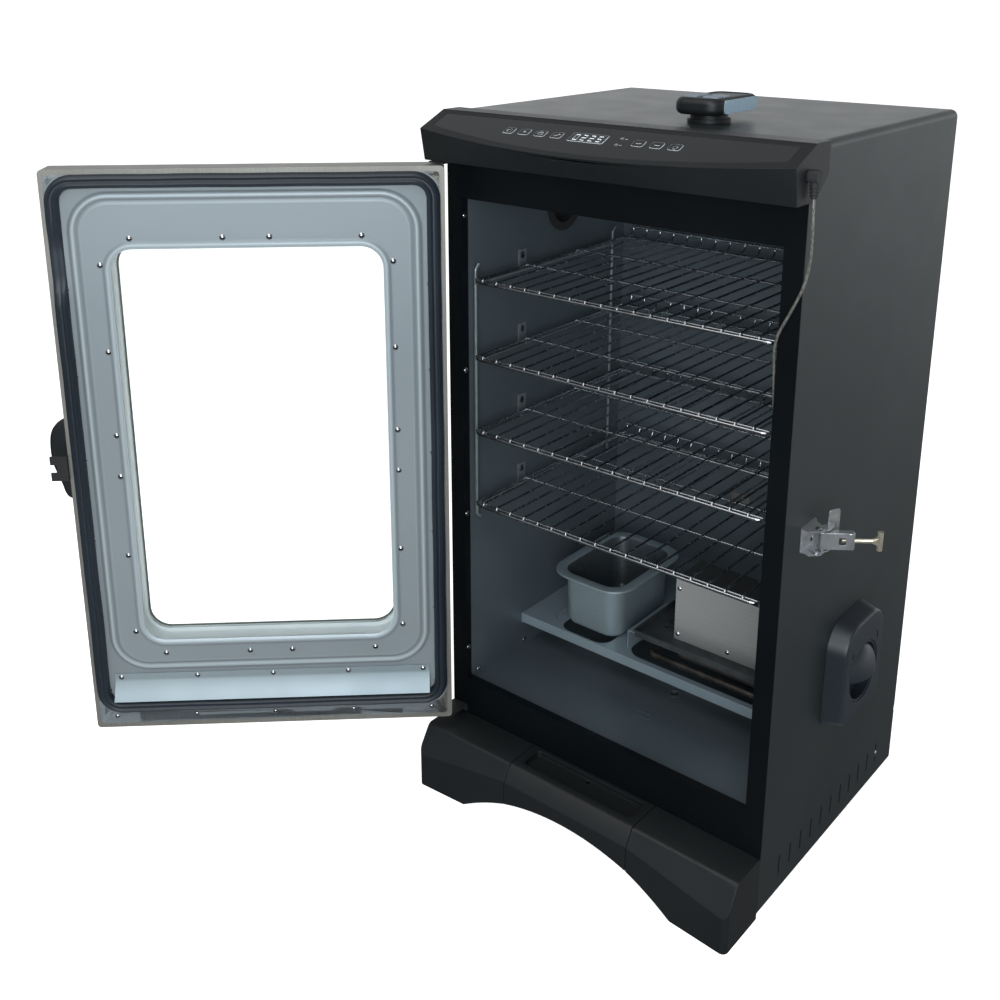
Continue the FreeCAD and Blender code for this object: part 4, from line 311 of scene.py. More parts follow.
# In surface, brushed and enamel the number after the two colours is the roughness.
MATERIALS = {
    "powder_coat": surface(
        "powder_coat", (0.008, 0.011, 0.012), (0.011, 0.015, 0.016), 0.40, relief=0.25, edge=0.8 * MM
    ),
    "front_enamel": surface(
        "front_enamel", (0.0015, 0.0025, 0.003), (0.003, 0.004, 0.005), 0.36, relief=0.2, gloss=0.18
    ),
    "chamber_steel": surface(
        "chamber_steel", (0.10, 0.125, 0.14), (0.15, 0.18, 0.20), 0.42, metal=0.65, cloud=3.0, relief=0.08
    ),
    "mineral_wool": surface(
        "mineral_wool",
        (0.45, 0.38, 0.22),
        (0.66, 0.60, 0.42),
        0.95,
        cloud=60.0,
        grain=420.0,
        relief=0.9,
        depth=3.0 * MM,
    ),
    "charcoal_plastic": surface(
        "charcoal_plastic",
        (0.0045, 0.006, 0.007),
        (0.007, 0.0085, 0.0095),
        0.46,
        grain=1800.0,
        relief=0.5,
        gloss=0.4,
        edge=1.0 * MM,
    ),
    "satin_plastic": surface(
        "satin_plastic", (0.008, 0.012, 0.016), (0.012, 0.016, 0.021), 0.38, relief=0.2, edge=1.0 * MM
    ),
    "black_rubber": surface("black_rubber", (0.010, 0.010, 0.011), (0.018, 0.018, 0.019), 0.7, relief=0.4),
    "gloss_panel": surface(
        "gloss_panel", (0.010, 0.011, 0.012), (0.014, 0.015, 0.015), 0.30, relief=0.05, coat=0.3
    ),
    "lens": surface("lens", (0.020, 0.022, 0.024), (0.030, 0.032, 0.034), 0.16, relief=0.03, coat=0.6),
    "circuit_board": surface("circuit_board", (0.01, 0.10, 0.04), (0.02, 0.16, 0.06), 0.5, cloud=90.0),
    "stainless": brushed(
        "stainless", (0.20, 0.195, 0.175), (0.25, 0.245, 0.22), 0.42, (1, 1, 0.02), metal=0.6, relief=0.06
    ),
    "element_metal": surface(
        "element_metal", (0.05, 0.045, 0.04), (0.14, 0.13, 0.12), 0.5, metal=0.8, cloud=40.0
    ),
    "grey_enamel": enamel("grey_enamel", (0.21, 0.265, 0.285), (0.26, 0.32, 0.34), 0.34),
    # Darker enamel for the inside of the water pan: painted shade.
    "shaded_pan_inside": enamel("shaded_pan_inside", (0.045, 0.055, 0.062), (0.085, 0.10, 0.11), 0.30),
    "chrome_wire": chrome("chrome_wire", (0.48, 0.50, 0.52), 0.22),
    "zinc_steel": chrome("zinc_steel", (0.40, 0.41, 0.42), 0.35),
    "latch_nickel": surface(
        "latch_nickel", (0.42, 0.44, 0.46), (0.66, 0.68, 0.70), 0.24, metal=0.86, cloud=90.0, edge=0.6 * MM
    ),
    "yellow_zinc": surface(
        "yellow_zinc", (0.40, 0.36, 0.27), (0.60, 0.56, 0.45), 0.30, metal=0.8, cloud=120.0, edge=0.5 * MM
    ),
    "sooty_steel": surface(
        "sooty_steel", (0.025, 0.028, 0.03), (0.07, 0.078, 0.08), 0.45, metal=0.5, cloud=28.0, edge=0.8 * MM
    ),
    "dark_steel": surface("dark_steel", (0.020, 0.021, 0.022), (0.035, 0.036, 0.037), 0.45, metal=0.5),
    "lip_steel": surface(
        "lip_steel", (0.19, 0.235, 0.255), (0.24, 0.285, 0.305), 0.42, metal=0.4, relief=0.05, edge=0.6 * MM
    ),
    "pale_spacer": surface("pale_spacer", (0.60, 0.63, 0.64), (0.70, 0.73, 0.74), 0.6),
    "clear_silicone": surface("clear_silicone", (0.66, 0.69, 0.70), (0.78, 0.80, 0.81), 0.4, relief=0.1),
    "ladder_steel": surface(
        "ladder_steel", (0.24, 0.27, 0.28), (0.34, 0.37, 0.38), 0.30, metal=0.75, cloud=60.0
    ),
    "black_steel": surface("black_steel", (0.010, 0.011, 0.012), (0.020, 0.021, 0.022), 0.5, grain=900.0),
    # The aluminised door panel: its last two colours are the painted highlight on crests and the painted shade in
    # creases.
    "aluminised": pressed_sheet(
        "aluminised", (0.185, 0.215, 0.23), (0.22, 0.25, 0.265), (0.42, 0.48, 0.51), (0.06, 0.075, 0.085)
    ),
    "clear_glass": window_glass(),
    "gasket_rubber": surface(
        "gasket_rubber", (0.006, 0.010, 0.016), (0.012, 0.018, 0.026), 0.45, relief=0.2
    ),
    "pale_plastic": surface("pale_plastic", (0.22, 0.30, 0.36), (0.27, 0.36, 0.43), 0.45, relief=0.2),
    "grey_keys": surface("grey_keys", (0.16, 0.19, 0.22), (0.21, 0.24, 0.28), 0.55, relief=0.3),
    "shelf_steel": surface(
        "shelf_steel",
        (0.20, 0.25, 0.28),
        (0.28, 0.34, 0.37),
        0.40,
        metal=0.5,
        cloud=6.0,
        relief=0.08,
        edge=0.8 * MM,
    ),
    "box_steel": brushed(
        "box_steel",
        (0.245, 0.245, 0.24),
        (0.275, 0.275, 0.27),
        0.42,
        (0.02, 1, 1),
        metal=0.3,
        relief=0.05,
        # painted shade on the upward faces of the chip housing and scoop
        painted_top_shade=(0.012, 0.013, 0.014),
    ),
    "steel_braid": braid("steel_braid", 700.0),
    "printed_ink": surface("printed_ink", (0.42, 0.44, 0.45), (0.52, 0.54, 0.55), 0.5),
    "digits": glowing("digits", (0.75, 0.80, 0.82), 0.35),
}


def dress(piece, name):
    """One material on a piece."""
    piece.data.materials.clear()
    piece.data.materials.append(MATERIALS[name])


def dress_cad_nodes():
    """Every CAD node gets the material of its slot, apart from the few with a finish of their own."""
    own = {
        "element_shelf": "shelf_steel",
        "chip_housing": "box_steel",
        "chip_scoop": "box_steel",
        "probe_cable": "steel_braid",
        "chip_tray": "sooty_steel",
        "drip_lip": "lip_steel",
        "latch_strike": "dark_steel",
        "latch_base": "latch_nickel",
        "latch_lever": "latch_nickel",
        "latch_link": "latch_nickel",
        "t_bolt": "yellow_zinc",
        "loader_housing": "satin_plastic",
        "loader_knob": "satin_plastic",
        "window_frame": "pale_spacer",
        "window_seal": "clear_silicone",
        "hinge_brackets": "black_steel",
        "rack_supports": "ladder_steel",
    }
    for part in frame["record"]["subparts"]:
        name = part["node"]
        dress(nodes[name], own.get(name, part["material_slot"]))


def smooth_cad_nodes():
    """Curved walls of the CAD nodes shade smoothly, sharp folds stay sharp."""
    for node in nodes.values():
        weld = node.modifiers.new("weld", "WELD")
        weld.merge_threshold = SAME_POINT
        node.data.shade_smooth()
        soften = node.modifiers.new("fold_edges", "EDGE_SPLIT")
        soften.split_angle = math.radians(CAD_SMOOTH_ANGLE)


# ---------------------------------------------------------------- mesh tools


def add_piece(name, bm, material, body, replaced=()):
    """A finished mesh becomes a piece that rides on a CAD body and may stand for CAD nodes."""
    mesh = bpy.data.meshes.new(name)
    bm.normal_update()
    bm.to_mesh(mesh)
    bm.free()
    mesh.shade_smooth()
    mesh.set_sharp_from_angle(angle=math.radians(PIECE_SMOOTH_ANGLE))
    piece = bpy.data.objects.new(name, mesh)
    bpy.context.scene.collection.objects.link(piece)
    mesh.materials.append(MATERIALS[material])
    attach(piece, body)
    if replaced:
        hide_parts(*replaced)
    return piece


def bent_path(points, bends, steps=6):
    """Points along a wire, with a bend radius for every corner."""
    path = [points[0]]
    for before, corner, after, bend in zip(points, points[1:], points[2:], bends):
        towards = (before - corner).normalized()
        onward = (after - corner).normalized()
        half_angle = towards.angle(onward) / 2
        reach = bend / math.tan(half_angle)
        centre = corner + (towards + onward).normalized() * bend / math.sin(half_angle)
        first = (corner + towards * reach - centre).normalized()
        last = (corner + onward * reach - centre).normalized()
        path += [centre + first.slerp(last, i / steps) * bend for i in range(steps + 1)]
    path.append(points[-1])
    return path


def rounded_loop(a0, a1, b0, b1, corner, steps=8):
    """Points round a rectangle with round corners, as pairs."""
    loop = []
    middles = ((a1 - corner, b0 + corner), (a1 - corner, b1 - corner), (a0 + corner, b1 - corner))
    middles += ((a0 + corner, b0 + corner),)
    for quarter, (a, b) in enumerate(middles):
        for i in range(steps + 1):
            angle = math.radians(90) * (quarter - 1 + i / steps)
            loop.append((a + corner * math.cos(angle), b + corner * math.sin(angle)))
    return loop


def sweep(bm, path, profile, closed=False, up=None):
    """A profile of (across, out) pairs carried along a path, capped unless the path closes."""
    count = len(path)
    rings = []
    across = None
    for i, point in enumerate(path):
        before = path[i - 1] if i or closed else point
        after = path[(i + 1) % count] if i < count - 1 or closed else point
        tangent = (after - before).normalized()
        if up is not None:
            across = tangent.cross(up).normalized()
        elif across is None:
            across = tangent.orthogonal().normalized()
        else:
            across = (across - tangent * across.dot(tangent)).normalized()
        out = across.cross(tangent) if up is None else up
        rings.append([bm.verts.new(point + across * a + out * b) for a, b in profile])
    sides = len(profile)
    for i in range(count if closed else count - 1):
        first, second = rings[i], rings[(i + 1) % count]
        for j in range(sides):
            k = (j + 1) % sides
            bm.faces.new((first[j], first[k], second[k], second[j]))
    if not closed:
        bm.faces.new(list(reversed(rings[0])))
        bm.faces.new(rings[-1])


def round_profile(radius, sides=12):
    """The outline of a round wire."""
    turns = [math.tau * i / sides for i in range(sides)]
    return [(radius * math.cos(t), radius * math.sin(t)) for t in turns]


def wire(bm, points, radius, bends=()):
    """A round wire, straight unless bends are given."""
    sweep(bm, bent_path(points, bends), round_profile(radius))


def bead(bm, centre, radius):
    """A small ball, such as the rounded end of a wire or a weld."""
    bmesh.ops.create_icosphere(bm, subdivisions=2, radius=radius, matrix=Matrix.Translation(centre))


def door_opened(bm):
    """Turns a mesh drawn on the closed door to where the door stands open."""
    pivot = Matrix.Translation(Vector(HINGE["pos_m"]))
    turn = pivot @ Matrix.Rotation(DOOR_SWING, 4, "Z") @ pivot.inverted()
    bmesh.ops.transform(bm, matrix=turn, verts=bm.verts)


def closed_box(name):
    """Lowest and highest corner of a door node, measured with the door closed."""
    pivot = Matrix.Translation(Vector(HINGE["pos_m"]))
    turn = pivot @ Matrix.Rotation(-DOOR_SWING, 4, "Z") @ pivot.inverted()
    corners = [turn @ vertex.co for vertex in nodes[name].data.vertices]
    low = Vector([min(c[i] for c in corners) for i in range(3)])
    high = Vector([max(c[i] for c in corners) for i in range(3)])
    return low, high


# ---------------------------------------------------------------- racks

# Wire sizes are radii.
RACK_WIRE = 2.0 * MM
GRID_WIRE = 1.25 * MM
CROSS_WIRE = 1.5 * MM
REAR_RAIL_WIRE = 1.6 * MM
GRID_COUNT = 18
FIRST_GRID_WIRE = 14.4 * MM
LAST_GRID_WIRE = 16.6 * MM
CROSS_WIRES_FROM_FRONT = (4 * MM, 99 * MM, 202 * MM)
CROSS_WIRE_FROM_REAR = 8 * MM
CROSS_RISE = 1.6 * MM
GRID_RISE = 4 * MM
REAR_RAIL_DROP = 3.6 * MM
REAR_RAIL_OVERHANG = 3 * MM
FRAME_CORNER = 12 * MM
FRONT_BEND = 2.6 * MM
FRONT_WELD = 1.55 * MM


def build_rack(number):
    """Welded wire rack with its long wires bent down onto the front rail and up to the rear rail."""
    name = f"rack_{number}"
    low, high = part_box(name)
    rail = low.z + RACK_WIRE
    x0, x1 = low.x + RACK_WIRE, high.x - RACK_WIRE
    y0, y1 = low.y + RACK_WIRE, high.y - RACK_WIRE
    bm = bmesh.new()
    frame_loop = [Vector((x, y, rail)) for x, y in rounded_loop(x0, x1, y0, y1, FRAME_CORNER)]
    sweep(bm, frame_loop, round_profile(RACK_WIRE), closed=True)
    cross = rail + CROSS_RISE
    for y in [y0 + place for place in CROSS_WIRES_FROM_FRONT] + [y1 - CROSS_WIRE_FROM_REAR]:
        wire(bm, [Vector((x0 + MM, y, cross)), Vector((x1 - MM, y, cross))], CROSS_WIRE)
    grid = rail + GRID_RISE
    top = high.z - REAR_RAIL_DROP
    back = y1 - REAR_RAIL_WIRE
    first = x0 + FIRST_GRID_WIRE
    last = x1 - LAST_GRID_WIRE
    pitch = (last - first) / (GRID_COUNT - 1)
    rear_rail = [Vector((x, back, top)) for x in (first - REAR_RAIL_OVERHANG, last + REAR_RAIL_OVERHANG)]
    wire(bm, rear_rail, REAR_RAIL_WIRE)
    for i in range(GRID_COUNT):
        x = first + pitch * i
        points = [
            Vector((x, y0 + 0.3 * MM, rail + 0.4 * MM)),
            Vector((x, y0 + 0.3 * MM, grid)),
            Vector((x, back, grid)),
            Vector((x, back, top)),
        ]
        wire(bm, points, GRID_WIRE, (FRONT_BEND, top - grid - 0.5 * MM))
        bead(bm, Vector((x, y0 + 0.2 * MM, rail + 1.8 * MM)), FRONT_WELD)
    add_piece(f"wire_rack_{number}", bm, "chrome_wire", name, (name,))


# ---------------------------------------------------------------- water pan


# The pan's section as (inset, rise) pairs in millimetres, from the middle of the underside outwards, up the
# outside, over the rolled rim and down the inside. The stretches down the inside, from the level given below,
# are dark with a painted shade.
PAN_SECTION = (
    (34.0, 0.0),
    (24.0, 0.0),
    (18.5, 1.8),
    (15.6, 6.5),
    (13.4, 70.0),
    (12.2, 73.0),
    (10.0, 74.2),
    (1.8, 74.2),
    (0.9, 72.8),
    (0.0, 73.2),
    (0.3, 74.9),
    (1.6, 75.4),
    (11.0, 75.4),
    (13.4, 74.4),
    (14.5, 70.5),
    (16.8, 7.5),
    (19.5, 3.0),
    (25.0, 1.1),
    (34.0, 1.1),
)
PAN_SHADED_INSIDE = 13
PAN_CORNER = 32.0
PAN_LEAST_CORNER = 10.0
PAN_CORNER_LOSS = 0.8


def build_water_pan():
    """Deep-drawn pan: the section carried round, then closed by the underside and the floor."""
    low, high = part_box("water_pan")
    bm = bmesh.new()
    rings = []
    for inset, rise in PAN_SECTION:
        side = inset * MM
        corner = max(PAN_LEAST_CORNER, PAN_CORNER - PAN_CORNER_LOSS * inset) * MM
        loop = rounded_loop(low.x + side, high.x - side, low.y + side, high.y - side, corner)
        rings.append([bm.verts.new((x, y, low.z + rise * MM)) for x, y in loop])
    for level, (ring, following) in enumerate(zip(rings, rings[1:])):
        for j, vertex in enumerate(ring):
            k = (j + 1) % len(ring)
            wall = bm.faces.new((vertex, ring[k], following[k], following[j]))
            # The inside walls and the floor take the darker enamel as painted shade.
            wall.material_index = 1 if level >= PAN_SHADED_INSIDE else 0
    bm.faces.new(list(reversed(rings[0])))
    floor = bm.faces.new(rings[-1])
    floor.material_index = 1
    pan = add_piece("drawn_pan", bm, "grey_enamel", "water_pan", ("water_pan",))
    pan.data.materials.append(MATERIALS["shaded_pan_inside"])


# ---------------------------------------------------------------- door panel, gasket and insulation


# The rectangles that the pressed door panel is built on: half width, bottom, top and corner radius in
# millimetres, measured on the closed door from the cabinet's middle and the floor.
PANEL_EDGE = (214.7, 94.8, 778.2, 4.5)
BORDER_INSIDE = (209.0, 115.0, 772.0, 13.0)
SEAT_START = (208.4, 117.5, 771.4, 13.6)
SEAT_EDGE = (208.0, 119.0, 771.0, 14.0)
SEAT_FLAT = (206.0, 122.0, 769.0, 14.0)
BEAD_EDGE = (194.5, 168.5, 760.5, 47.5)
WINDOW_EDGE = (159.4, 202.1, 704.9, 34.9)
LEAST_CORNER = 4.0

# The panel's section as (rectangle, inset, rise) in millimetres: the folded edge, the raised border, the
# flat where the gasket sits, the pressed bead, the ridge round the window, then back along the rear face.
PANEL_SECTION = (
    (PANEL_EDGE, 0.0, -0.8),
    (PANEL_EDGE, 0.0, 0.9),
    (PANEL_EDGE, 0.9, 0.9),
    (PANEL_EDGE, 1.5, 1.0),
    (PANEL_EDGE, 2.3, 1.0),
    (PANEL_EDGE, 2.9, 1.0),
    (PANEL_EDGE, 3.7, 1.0),
    (BORDER_INSIDE, 0.0, 1.0),
    (SEAT_START, 0.0, 1.0),
    (SEAT_EDGE, 0.0, 1.0),
    (SEAT_FLAT, 0.0, 0.0),
    (BEAD_EDGE, 0.0, 0.0),
    (BEAD_EDGE, 1.3, 0.0),
    (BEAD_EDGE, 2.9, 0.9),
    (BEAD_EDGE, 5.3, 3.7),
    (BEAD_EDGE, 6.7, 4.1),
    (BEAD_EDGE, 8.3, 4.0),
    (BEAD_EDGE, 10.1, 2.9),
    (BEAD_EDGE, 11.9, 2.7),
    (BEAD_EDGE, 13.9, 3.7),
    (BEAD_EDGE, 15.3, 3.9),
    (BEAD_EDGE, 16.5, 3.9),
    (WINDOW_EDGE, 0.0, 3.9),
    (WINDOW_EDGE, 1.4, 3.9),
    (WINDOW_EDGE, 3.0, 4.6),
    (WINDOW_EDGE, 4.8, 5.7),
    (WINDOW_EDGE, 6.6, 5.9),
    (WINDOW_EDGE, 8.4, 5.3),
    (WINDOW_EDGE, 9.9, 4.1),
    (WINDOW_EDGE, 9.9, 3.1),
    (BEAD_EDGE, 18.0, 3.1),
    (BEAD_EDGE, 15.0, 1.6),
    (BEAD_EDGE, 8.5, 1.6),
    (BEAD_EDGE, 3.0, -0.8),
)
# The stretches of the section that form a dark band just inside the folded edge: painted shadow of the joint
# between the panel and the door skin's hem.
JOINT_SHADE_BAND = (1, 2)


def inset_rectangle(rectangle, inset):
    """A rounded rectangle moved inwards on all sides, as pairs in millimetres."""
    half, bottom, top, corner = rectangle
    corner = max(LEAST_CORNER, corner - inset)
    return rounded_loop(inset - half, half - inset, bottom + inset, top - inset, corner, steps=10)


def build_door_panel():
    """Pressed inner panel of the door with a painted shadow line round its edge, where it meets the door skin."""
    sheet_level = closed_box("door_inner_panel")[0].y + 0.8 * MM
    bm = bmesh.new()
    rings = []
    for rectangle, inset, rise in PANEL_SECTION:
        level = sheet_level + rise * MM
        loop = inset_rectangle(rectangle, inset)
        rings.append([bm.verts.new((CABINET.x + x * MM, level, z * MM)) for x, z in loop])
    for stretch, (ring, following) in enumerate(zip(rings, rings[1:] + rings[:1])):
        for j, vertex in enumerate(ring):
            k = (j + 1) % len(ring)
            strip = bm.faces.new((vertex, ring[k], following[k], following[j]))
            # The joint stretches take dark steel as the painted shadow of the joint.
            strip.material_index = 1 if stretch in JOINT_SHADE_BAND else 0
    bmesh.ops.recalc_face_normals(bm, faces=bm.faces)
    door_opened(bm)
    panel = add_piece("pressed_panel", bm, "aluminised", "door", ("door_inner_panel",))
    panel.data.materials.append(MATERIALS["dark_steel"])


# Heights in metres between which the probe lead crosses the gasket, and how far the gasket gives way there.
LEAD_CROSSING = (0.635, 0.722)
LEAD_DENT = 0.76
LEAD_RAMPS = 4.0
SWAY = 0.7 * MM
SWAY_SCALE = 14


def divided(path, step):
    """The same closed path with extra points along its straight runs."""
    dense = []
    for point, following in zip(path, path[1:] + path[:1]):
        parts = max(1, round((following - point).length / step))
        dense += [point.lerp(following, i / parts) for i in range(parts)]
    return dense


def eased(point, base):
    """A point of the seal, pressed down where the probe lead crosses it and a little uneven all round."""
    start, end = LEAD_CROSSING
    if point.x > CABINET.x and start < point.z < end:
        dent = LEAD_DENT * min(1.0, LEAD_RAMPS * min(point.z - start, end - point.z) / (end - start))
        point.y = base + (point.y - base) * (1 - dent)
    sway = noise.noise(point * SWAY_SCALE) * SWAY
    return point + Vector((sway, 0, sway))


GASKET_HEIGHT = 10 * MM
GASKET_HALF = 7.5 * MM
GASKET_INSET = 6.5 * MM
GASKET_CORNER = 22.5 * MM
# Half of the seal's outline as (across, out) shares of its half width and height, from base to crease.
GASKET_OUTLINE = ((1.0, 0.0), (1.0, 0.45), (0.82, 0.82), (0.45, 1.0), (0.12, 0.80))


def build_gasket():
    """Soft hollow seal with a crease along its crown. It stands at its full height."""
    low, high = closed_box("door_gasket")
    x0, x1 = low.x + GASKET_INSET, high.x - GASKET_INSET
    z0, z1 = low.z + GASKET_INSET, high.z - GASKET_INSET
    loop = rounded_loop(x0, x1, z0, z1, GASKET_CORNER, steps=10)
    path = divided([Vector((x, low.y, z)) for x, z in loop], 8 * MM)
    half = [(across * GASKET_HALF, out * GASKET_HEIGHT) for across, out in GASKET_OUTLINE]
    profile = [(-across, out) for across, out in half] + half[::-1]
    bm = bmesh.new()
    sweep(bm, path, profile, closed=True, up=Vector((0, 1, 0)))
    for vertex in bm.verts:
        vertex.co = eased(vertex.co.copy(), low.y)
    bmesh.ops.recalc_face_normals(bm, faces=bm.faces)
    door_opened(bm)
    gasket = add_piece("soft_gasket", bm, "gasket_rubber", "door", ("door_gasket",))
    pivot = Vector(HINGE["pos_m"])
    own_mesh(gasket)


WOOL_ROUNDS = 4
WOOL_EDGE = 30 * MM
WOOL_DENT = 0.6 * MM
WOOL_SCALE = 60


def build_wool(name, node, body):
    """Matted wool in place of a CAD block: faces divided finely and pushed in unevenly."""
    bm = bmesh.new()
    bm.from_mesh(nodes[node].data)
    bmesh.ops.remove_doubles(bm, verts=bm.verts, dist=SAME_POINT)
    for _ in range(WOOL_ROUNDS):
        long_edges = [edge for edge in bm.edges if edge.calc_length() > WOOL_EDGE]
        bmesh.ops.subdivide_edges(bm, edges=long_edges, cuts=1)
        bmesh.ops.triangulate(bm, faces=bm.faces)
    bm.normal_update()
    for vertex in bm.verts:
        dent = 0.5 + 0.5 * noise.noise(vertex.co * WOOL_SCALE)
        vertex.co -= vertex.normal * dent * WOOL_DENT
    add_piece(name, bm, "mineral_wool", body, (node,))


# ---------------------------------------------------------------- touch panel print


PRINT_LIFT = 0.06 * MM
STROKE_STEP = 1.5


def slope_finder():
    """Finds points on the control panel's sloping face from plan coordinates in millimetres."""
    tree_points = []
    tree_faces = []
    for name in ("control_panel", "display_window"):
        mesh = nodes[name].data
        start = len(tree_points)
        tree_points += [vertex.co.copy() for vertex in mesh.vertices]
        tree_faces += [[start + i for i in polygon.vertices] for polygon in mesh.polygons]
    tree = BVHTree.FromPolygons(tree_points, tree_faces)

    def find(x, y):
        hit = tree.ray_cast(CABINET + Vector((x * MM, y * MM, 1.0)), Vector((0, 0, -1)))
        return hit[0] + Vector((0, 0, PRINT_LIFT))

    return find


def ink(bm, find, strokes, centre, size, width=0.32):
    """Printed strokes on the slope: each stroke is a list of pairs in a unit square round the centre.

    Centre, size and the strokes' half width are in millimetres.
    """
    for stroke in strokes:
        flat = []
        for (a0, b0), (a1, b1) in zip(stroke, stroke[1:]):
            length = math.hypot((a1 - a0) * size[0], (b1 - b0) * size[1])
            parts = max(1, int(length / STROKE_STEP))
            flat += [(a0 + (a1 - a0) * i / parts, b0 + (b1 - b0) * i / parts) for i in range(parts)]
        flat.append(stroke[-1])
        path = [find(centre[0] + a * size[0], centre[1] + b * size[1]) for a, b in flat]
        sweep(bm, path, [(width * MM * c, width * 0.3 * MM * s) for c, s in round_profile(1.0, 6)])


def arc_stroke(radius, start, end, steps=14):
    """Points of an arc in the unit square."""
    angles = [math.radians(start + (end - start) * i / steps) for i in range(steps + 1)]
    return [(radius * math.cos(a), radius * math.sin(a)) for a in angles]


def rounded_square(corner):
    """The closed outline of the unit square with round corners, as a stroke."""
    loop = rounded_loop(-0.5, 0.5, -0.5, 0.5, corner, steps=4)
    return loop + loop[:1]


SIGNS = {
    "power": [arc_stroke(0.24, 120, 420), [(0, 0.05), (0, 0.32)]],
    "heat": [[(0, 0.3), (0, -0.1)], arc_stroke(0.12, 0, 360)],
    "clock": [arc_stroke(0.26, 0, 360), [(0, 0.18), (0, 0), (0.14, 0)]],
    "probe": [[(-0.25, -0.2), (0.2, 0.22)], [(0.05, 0.28), (0.26, 0.1)]],
    "plus": [[(-0.24, 0), (0.24, 0)], [(0, -0.24), (0, 0.24)]],
    "minus": [[(-0.24, 0), (0.24, 0)]],
    "light": [arc_stroke(0.18, -50, 230), [(-0.1, -0.28), (0.1, -0.28)]],
}
# Each touch key's sign and its place across the panel, in millimetres from the middle.
KEY_PLACES = (
    ("power", -106.4),
    ("heat", -86.4),
    ("clock", -65.5),
    ("probe", -44.8),
    ("plus", 53.0),
    ("minus", 73.6),
    ("light", 93.9),
)
KEY_ROW_Y = -204.7
KEY_SIZE = (13.0, 10.0)
MARK_PLACES = ((31.0, -200.0), (31.0, -210.5))
MARK_SIZE = (3.6, 3.0)
DISPLAY_MIDDLE = (-7.0, -204.25)
DISPLAY_SIZE = (43.0, 14.6)
DIGIT_PLACES = (-21.0, -11.7, -2.3, 7.0)
DIGIT_ROW_Y = -204.2
DIGIT_SIZE = (4.6, 4.2)


def segment_strokes(digit):
    """The lit bars of a seven-bar digit in the unit square."""
    bars = {
        "a": [(-0.5, 1), (0.5, 1)],
        "b": [(0.5, 1), (0.5, 0)],
        "c": [(0.5, 0), (0.5, -1)],
        "d": [(-0.5, -1), (0.5, -1)],
        "e": [(-0.5, 0), (-0.5, -1)],
        "f": [(-0.5, 1), (-0.5, 0)],
        "g": [(-0.5, 0), (0.5, 0)],
    }
    lit = {"0": "abcdef", "2": "abged", "5": "afgcd"}
    return [bars[bar] for bar in lit[digit]]


def build_panel_print(find):
    """Touch keys, indicator marks and the display's frame, printed on the panel."""
    bm = bmesh.new()
    for sign, x in KEY_PLACES:
        ink(bm, find, [rounded_square(0.2)] + SIGNS[sign], (x, KEY_ROW_Y), KEY_SIZE)
    ring_and_dash = [arc_stroke(0.5, 0, 360), [(0.9, 0), (1.8, 0)]]
    for place in MARK_PLACES:
        ink(bm, find, ring_and_dash, place, MARK_SIZE, width=0.25)
    ink(bm, find, [rounded_square(0.08)], DISPLAY_MIDDLE, DISPLAY_SIZE, width=0.45)
    add_piece("panel_print", bm, "printed_ink", "cabinet")


def build_digits(find):
    """Four lit digits on the display."""
    bm = bmesh.new()
    for digit, x in zip("0225", DIGIT_PLACES):
        ink(bm, find, segment_strokes(digit), (x, DIGIT_ROW_Y), DIGIT_SIZE, width=0.55)
    add_piece("display_digits", bm, "digits", "cabinet")


# ---------------------------------------------------------------- stage


# Brightness of the surroundings as (height of the view direction, tone), from straight down at minus one to
# straight up at one: behind the object and in front of it.
BACK_GLOW = (
    (-1.0, 0.5),
    (-0.85, 0.2),
    (-0.62, 0.05),
    (-0.31, 0.28),
    (-0.14, 0.64),
    (0.0, 1.0),
    (0.1, 1.7),
    (0.3, 0.6),
    (0.6, 0.28),
)
FRONT_GLOW = (
    (-1.0, 0.3),
    (-0.88, 0.14),
    (-0.7, 0.02),
    (-0.5, 0.02),
    (-0.19, 0.06),
    (0.0, 0.18),
    (0.3, 0.34),
    (0.6, 0.28),
)


def glow_ramp(tree, height, glow):
    """The colour that a table of glow gives for a height between minus one and one."""
    ramp = tree.nodes.new("ShaderNodeValToRGB")
    tree.links.new(height, ramp.inputs["Fac"])
    stops = ramp.color_ramp.elements
    stops.remove(stops[1])
    for number, (rise, tone) in enumerate(glow):
        stop = stops.new((rise + 1) / 2) if number else stops[0]
        stop.position = (rise + 1) / 2
        stop.color = (tone * 0.97, tone, tone * 1.02, 1)
    return ramp.outputs["Color"]


def build_world():
    """Soft studio surroundings: a bright band behind the object, dimmer in front, dark below."""
    world = bpy.data.worlds.new("studio")
    bpy.context.scene.world = world
    world.use_nodes = True
    tree = world.node_tree
    coords = tree.nodes.new("ShaderNodeTexCoord")
    split = tree.nodes.new("ShaderNodeSeparateXYZ")
    tree.links.new(coords.outputs["Generated"], split.inputs["Vector"])
    height = ranged(tree, split.outputs["Z"], 0, 1, -1.0, 1.0)
    mix = tree.nodes.new("ShaderNodeMix")
    mix.data_type = "RGBA"
    tree.links.new(ranged(tree, split.outputs["Y"], 0, 1, -0.2, 0.7), mix.inputs["Factor"])
    tree.links.new(glow_ramp(tree, height, FRONT_GLOW), mix.inputs["A"])
    tree.links.new(glow_ramp(tree, height, BACK_GLOW), mix.inputs["B"])
    tree.links.new(mix.outputs["Result"], tree.nodes["Background"].inputs["Color"])


def area_light(name, place, aim, size, power, tone):
    """A soft square light pointed at a spot; place and aim are metres from CABINET, power is in watts."""
    light = bpy.data.lights.new(name, "AREA")
    light.size = size
    light.energy = power
    light.color = tone
    lamp = bpy.data.objects.new(name, light)
    lamp.location = CABINET + Vector(place)
    lamp.rotation_euler = (Vector(aim) - Vector(place)).to_track_quat("-Z", "Y").to_euler()
    bpy.context.scene.collection.objects.link(lamp)


# Metres: the pale floor's half side, and the dim patch under the cabinet as least x, least y, greatest x and
# greatest y from CABINET.
FLOOR_HALF = 90.0
SHADE = (-0.212, -0.165, 0.212, 0.17)
SHADE_LIFT = 0.5 * MM


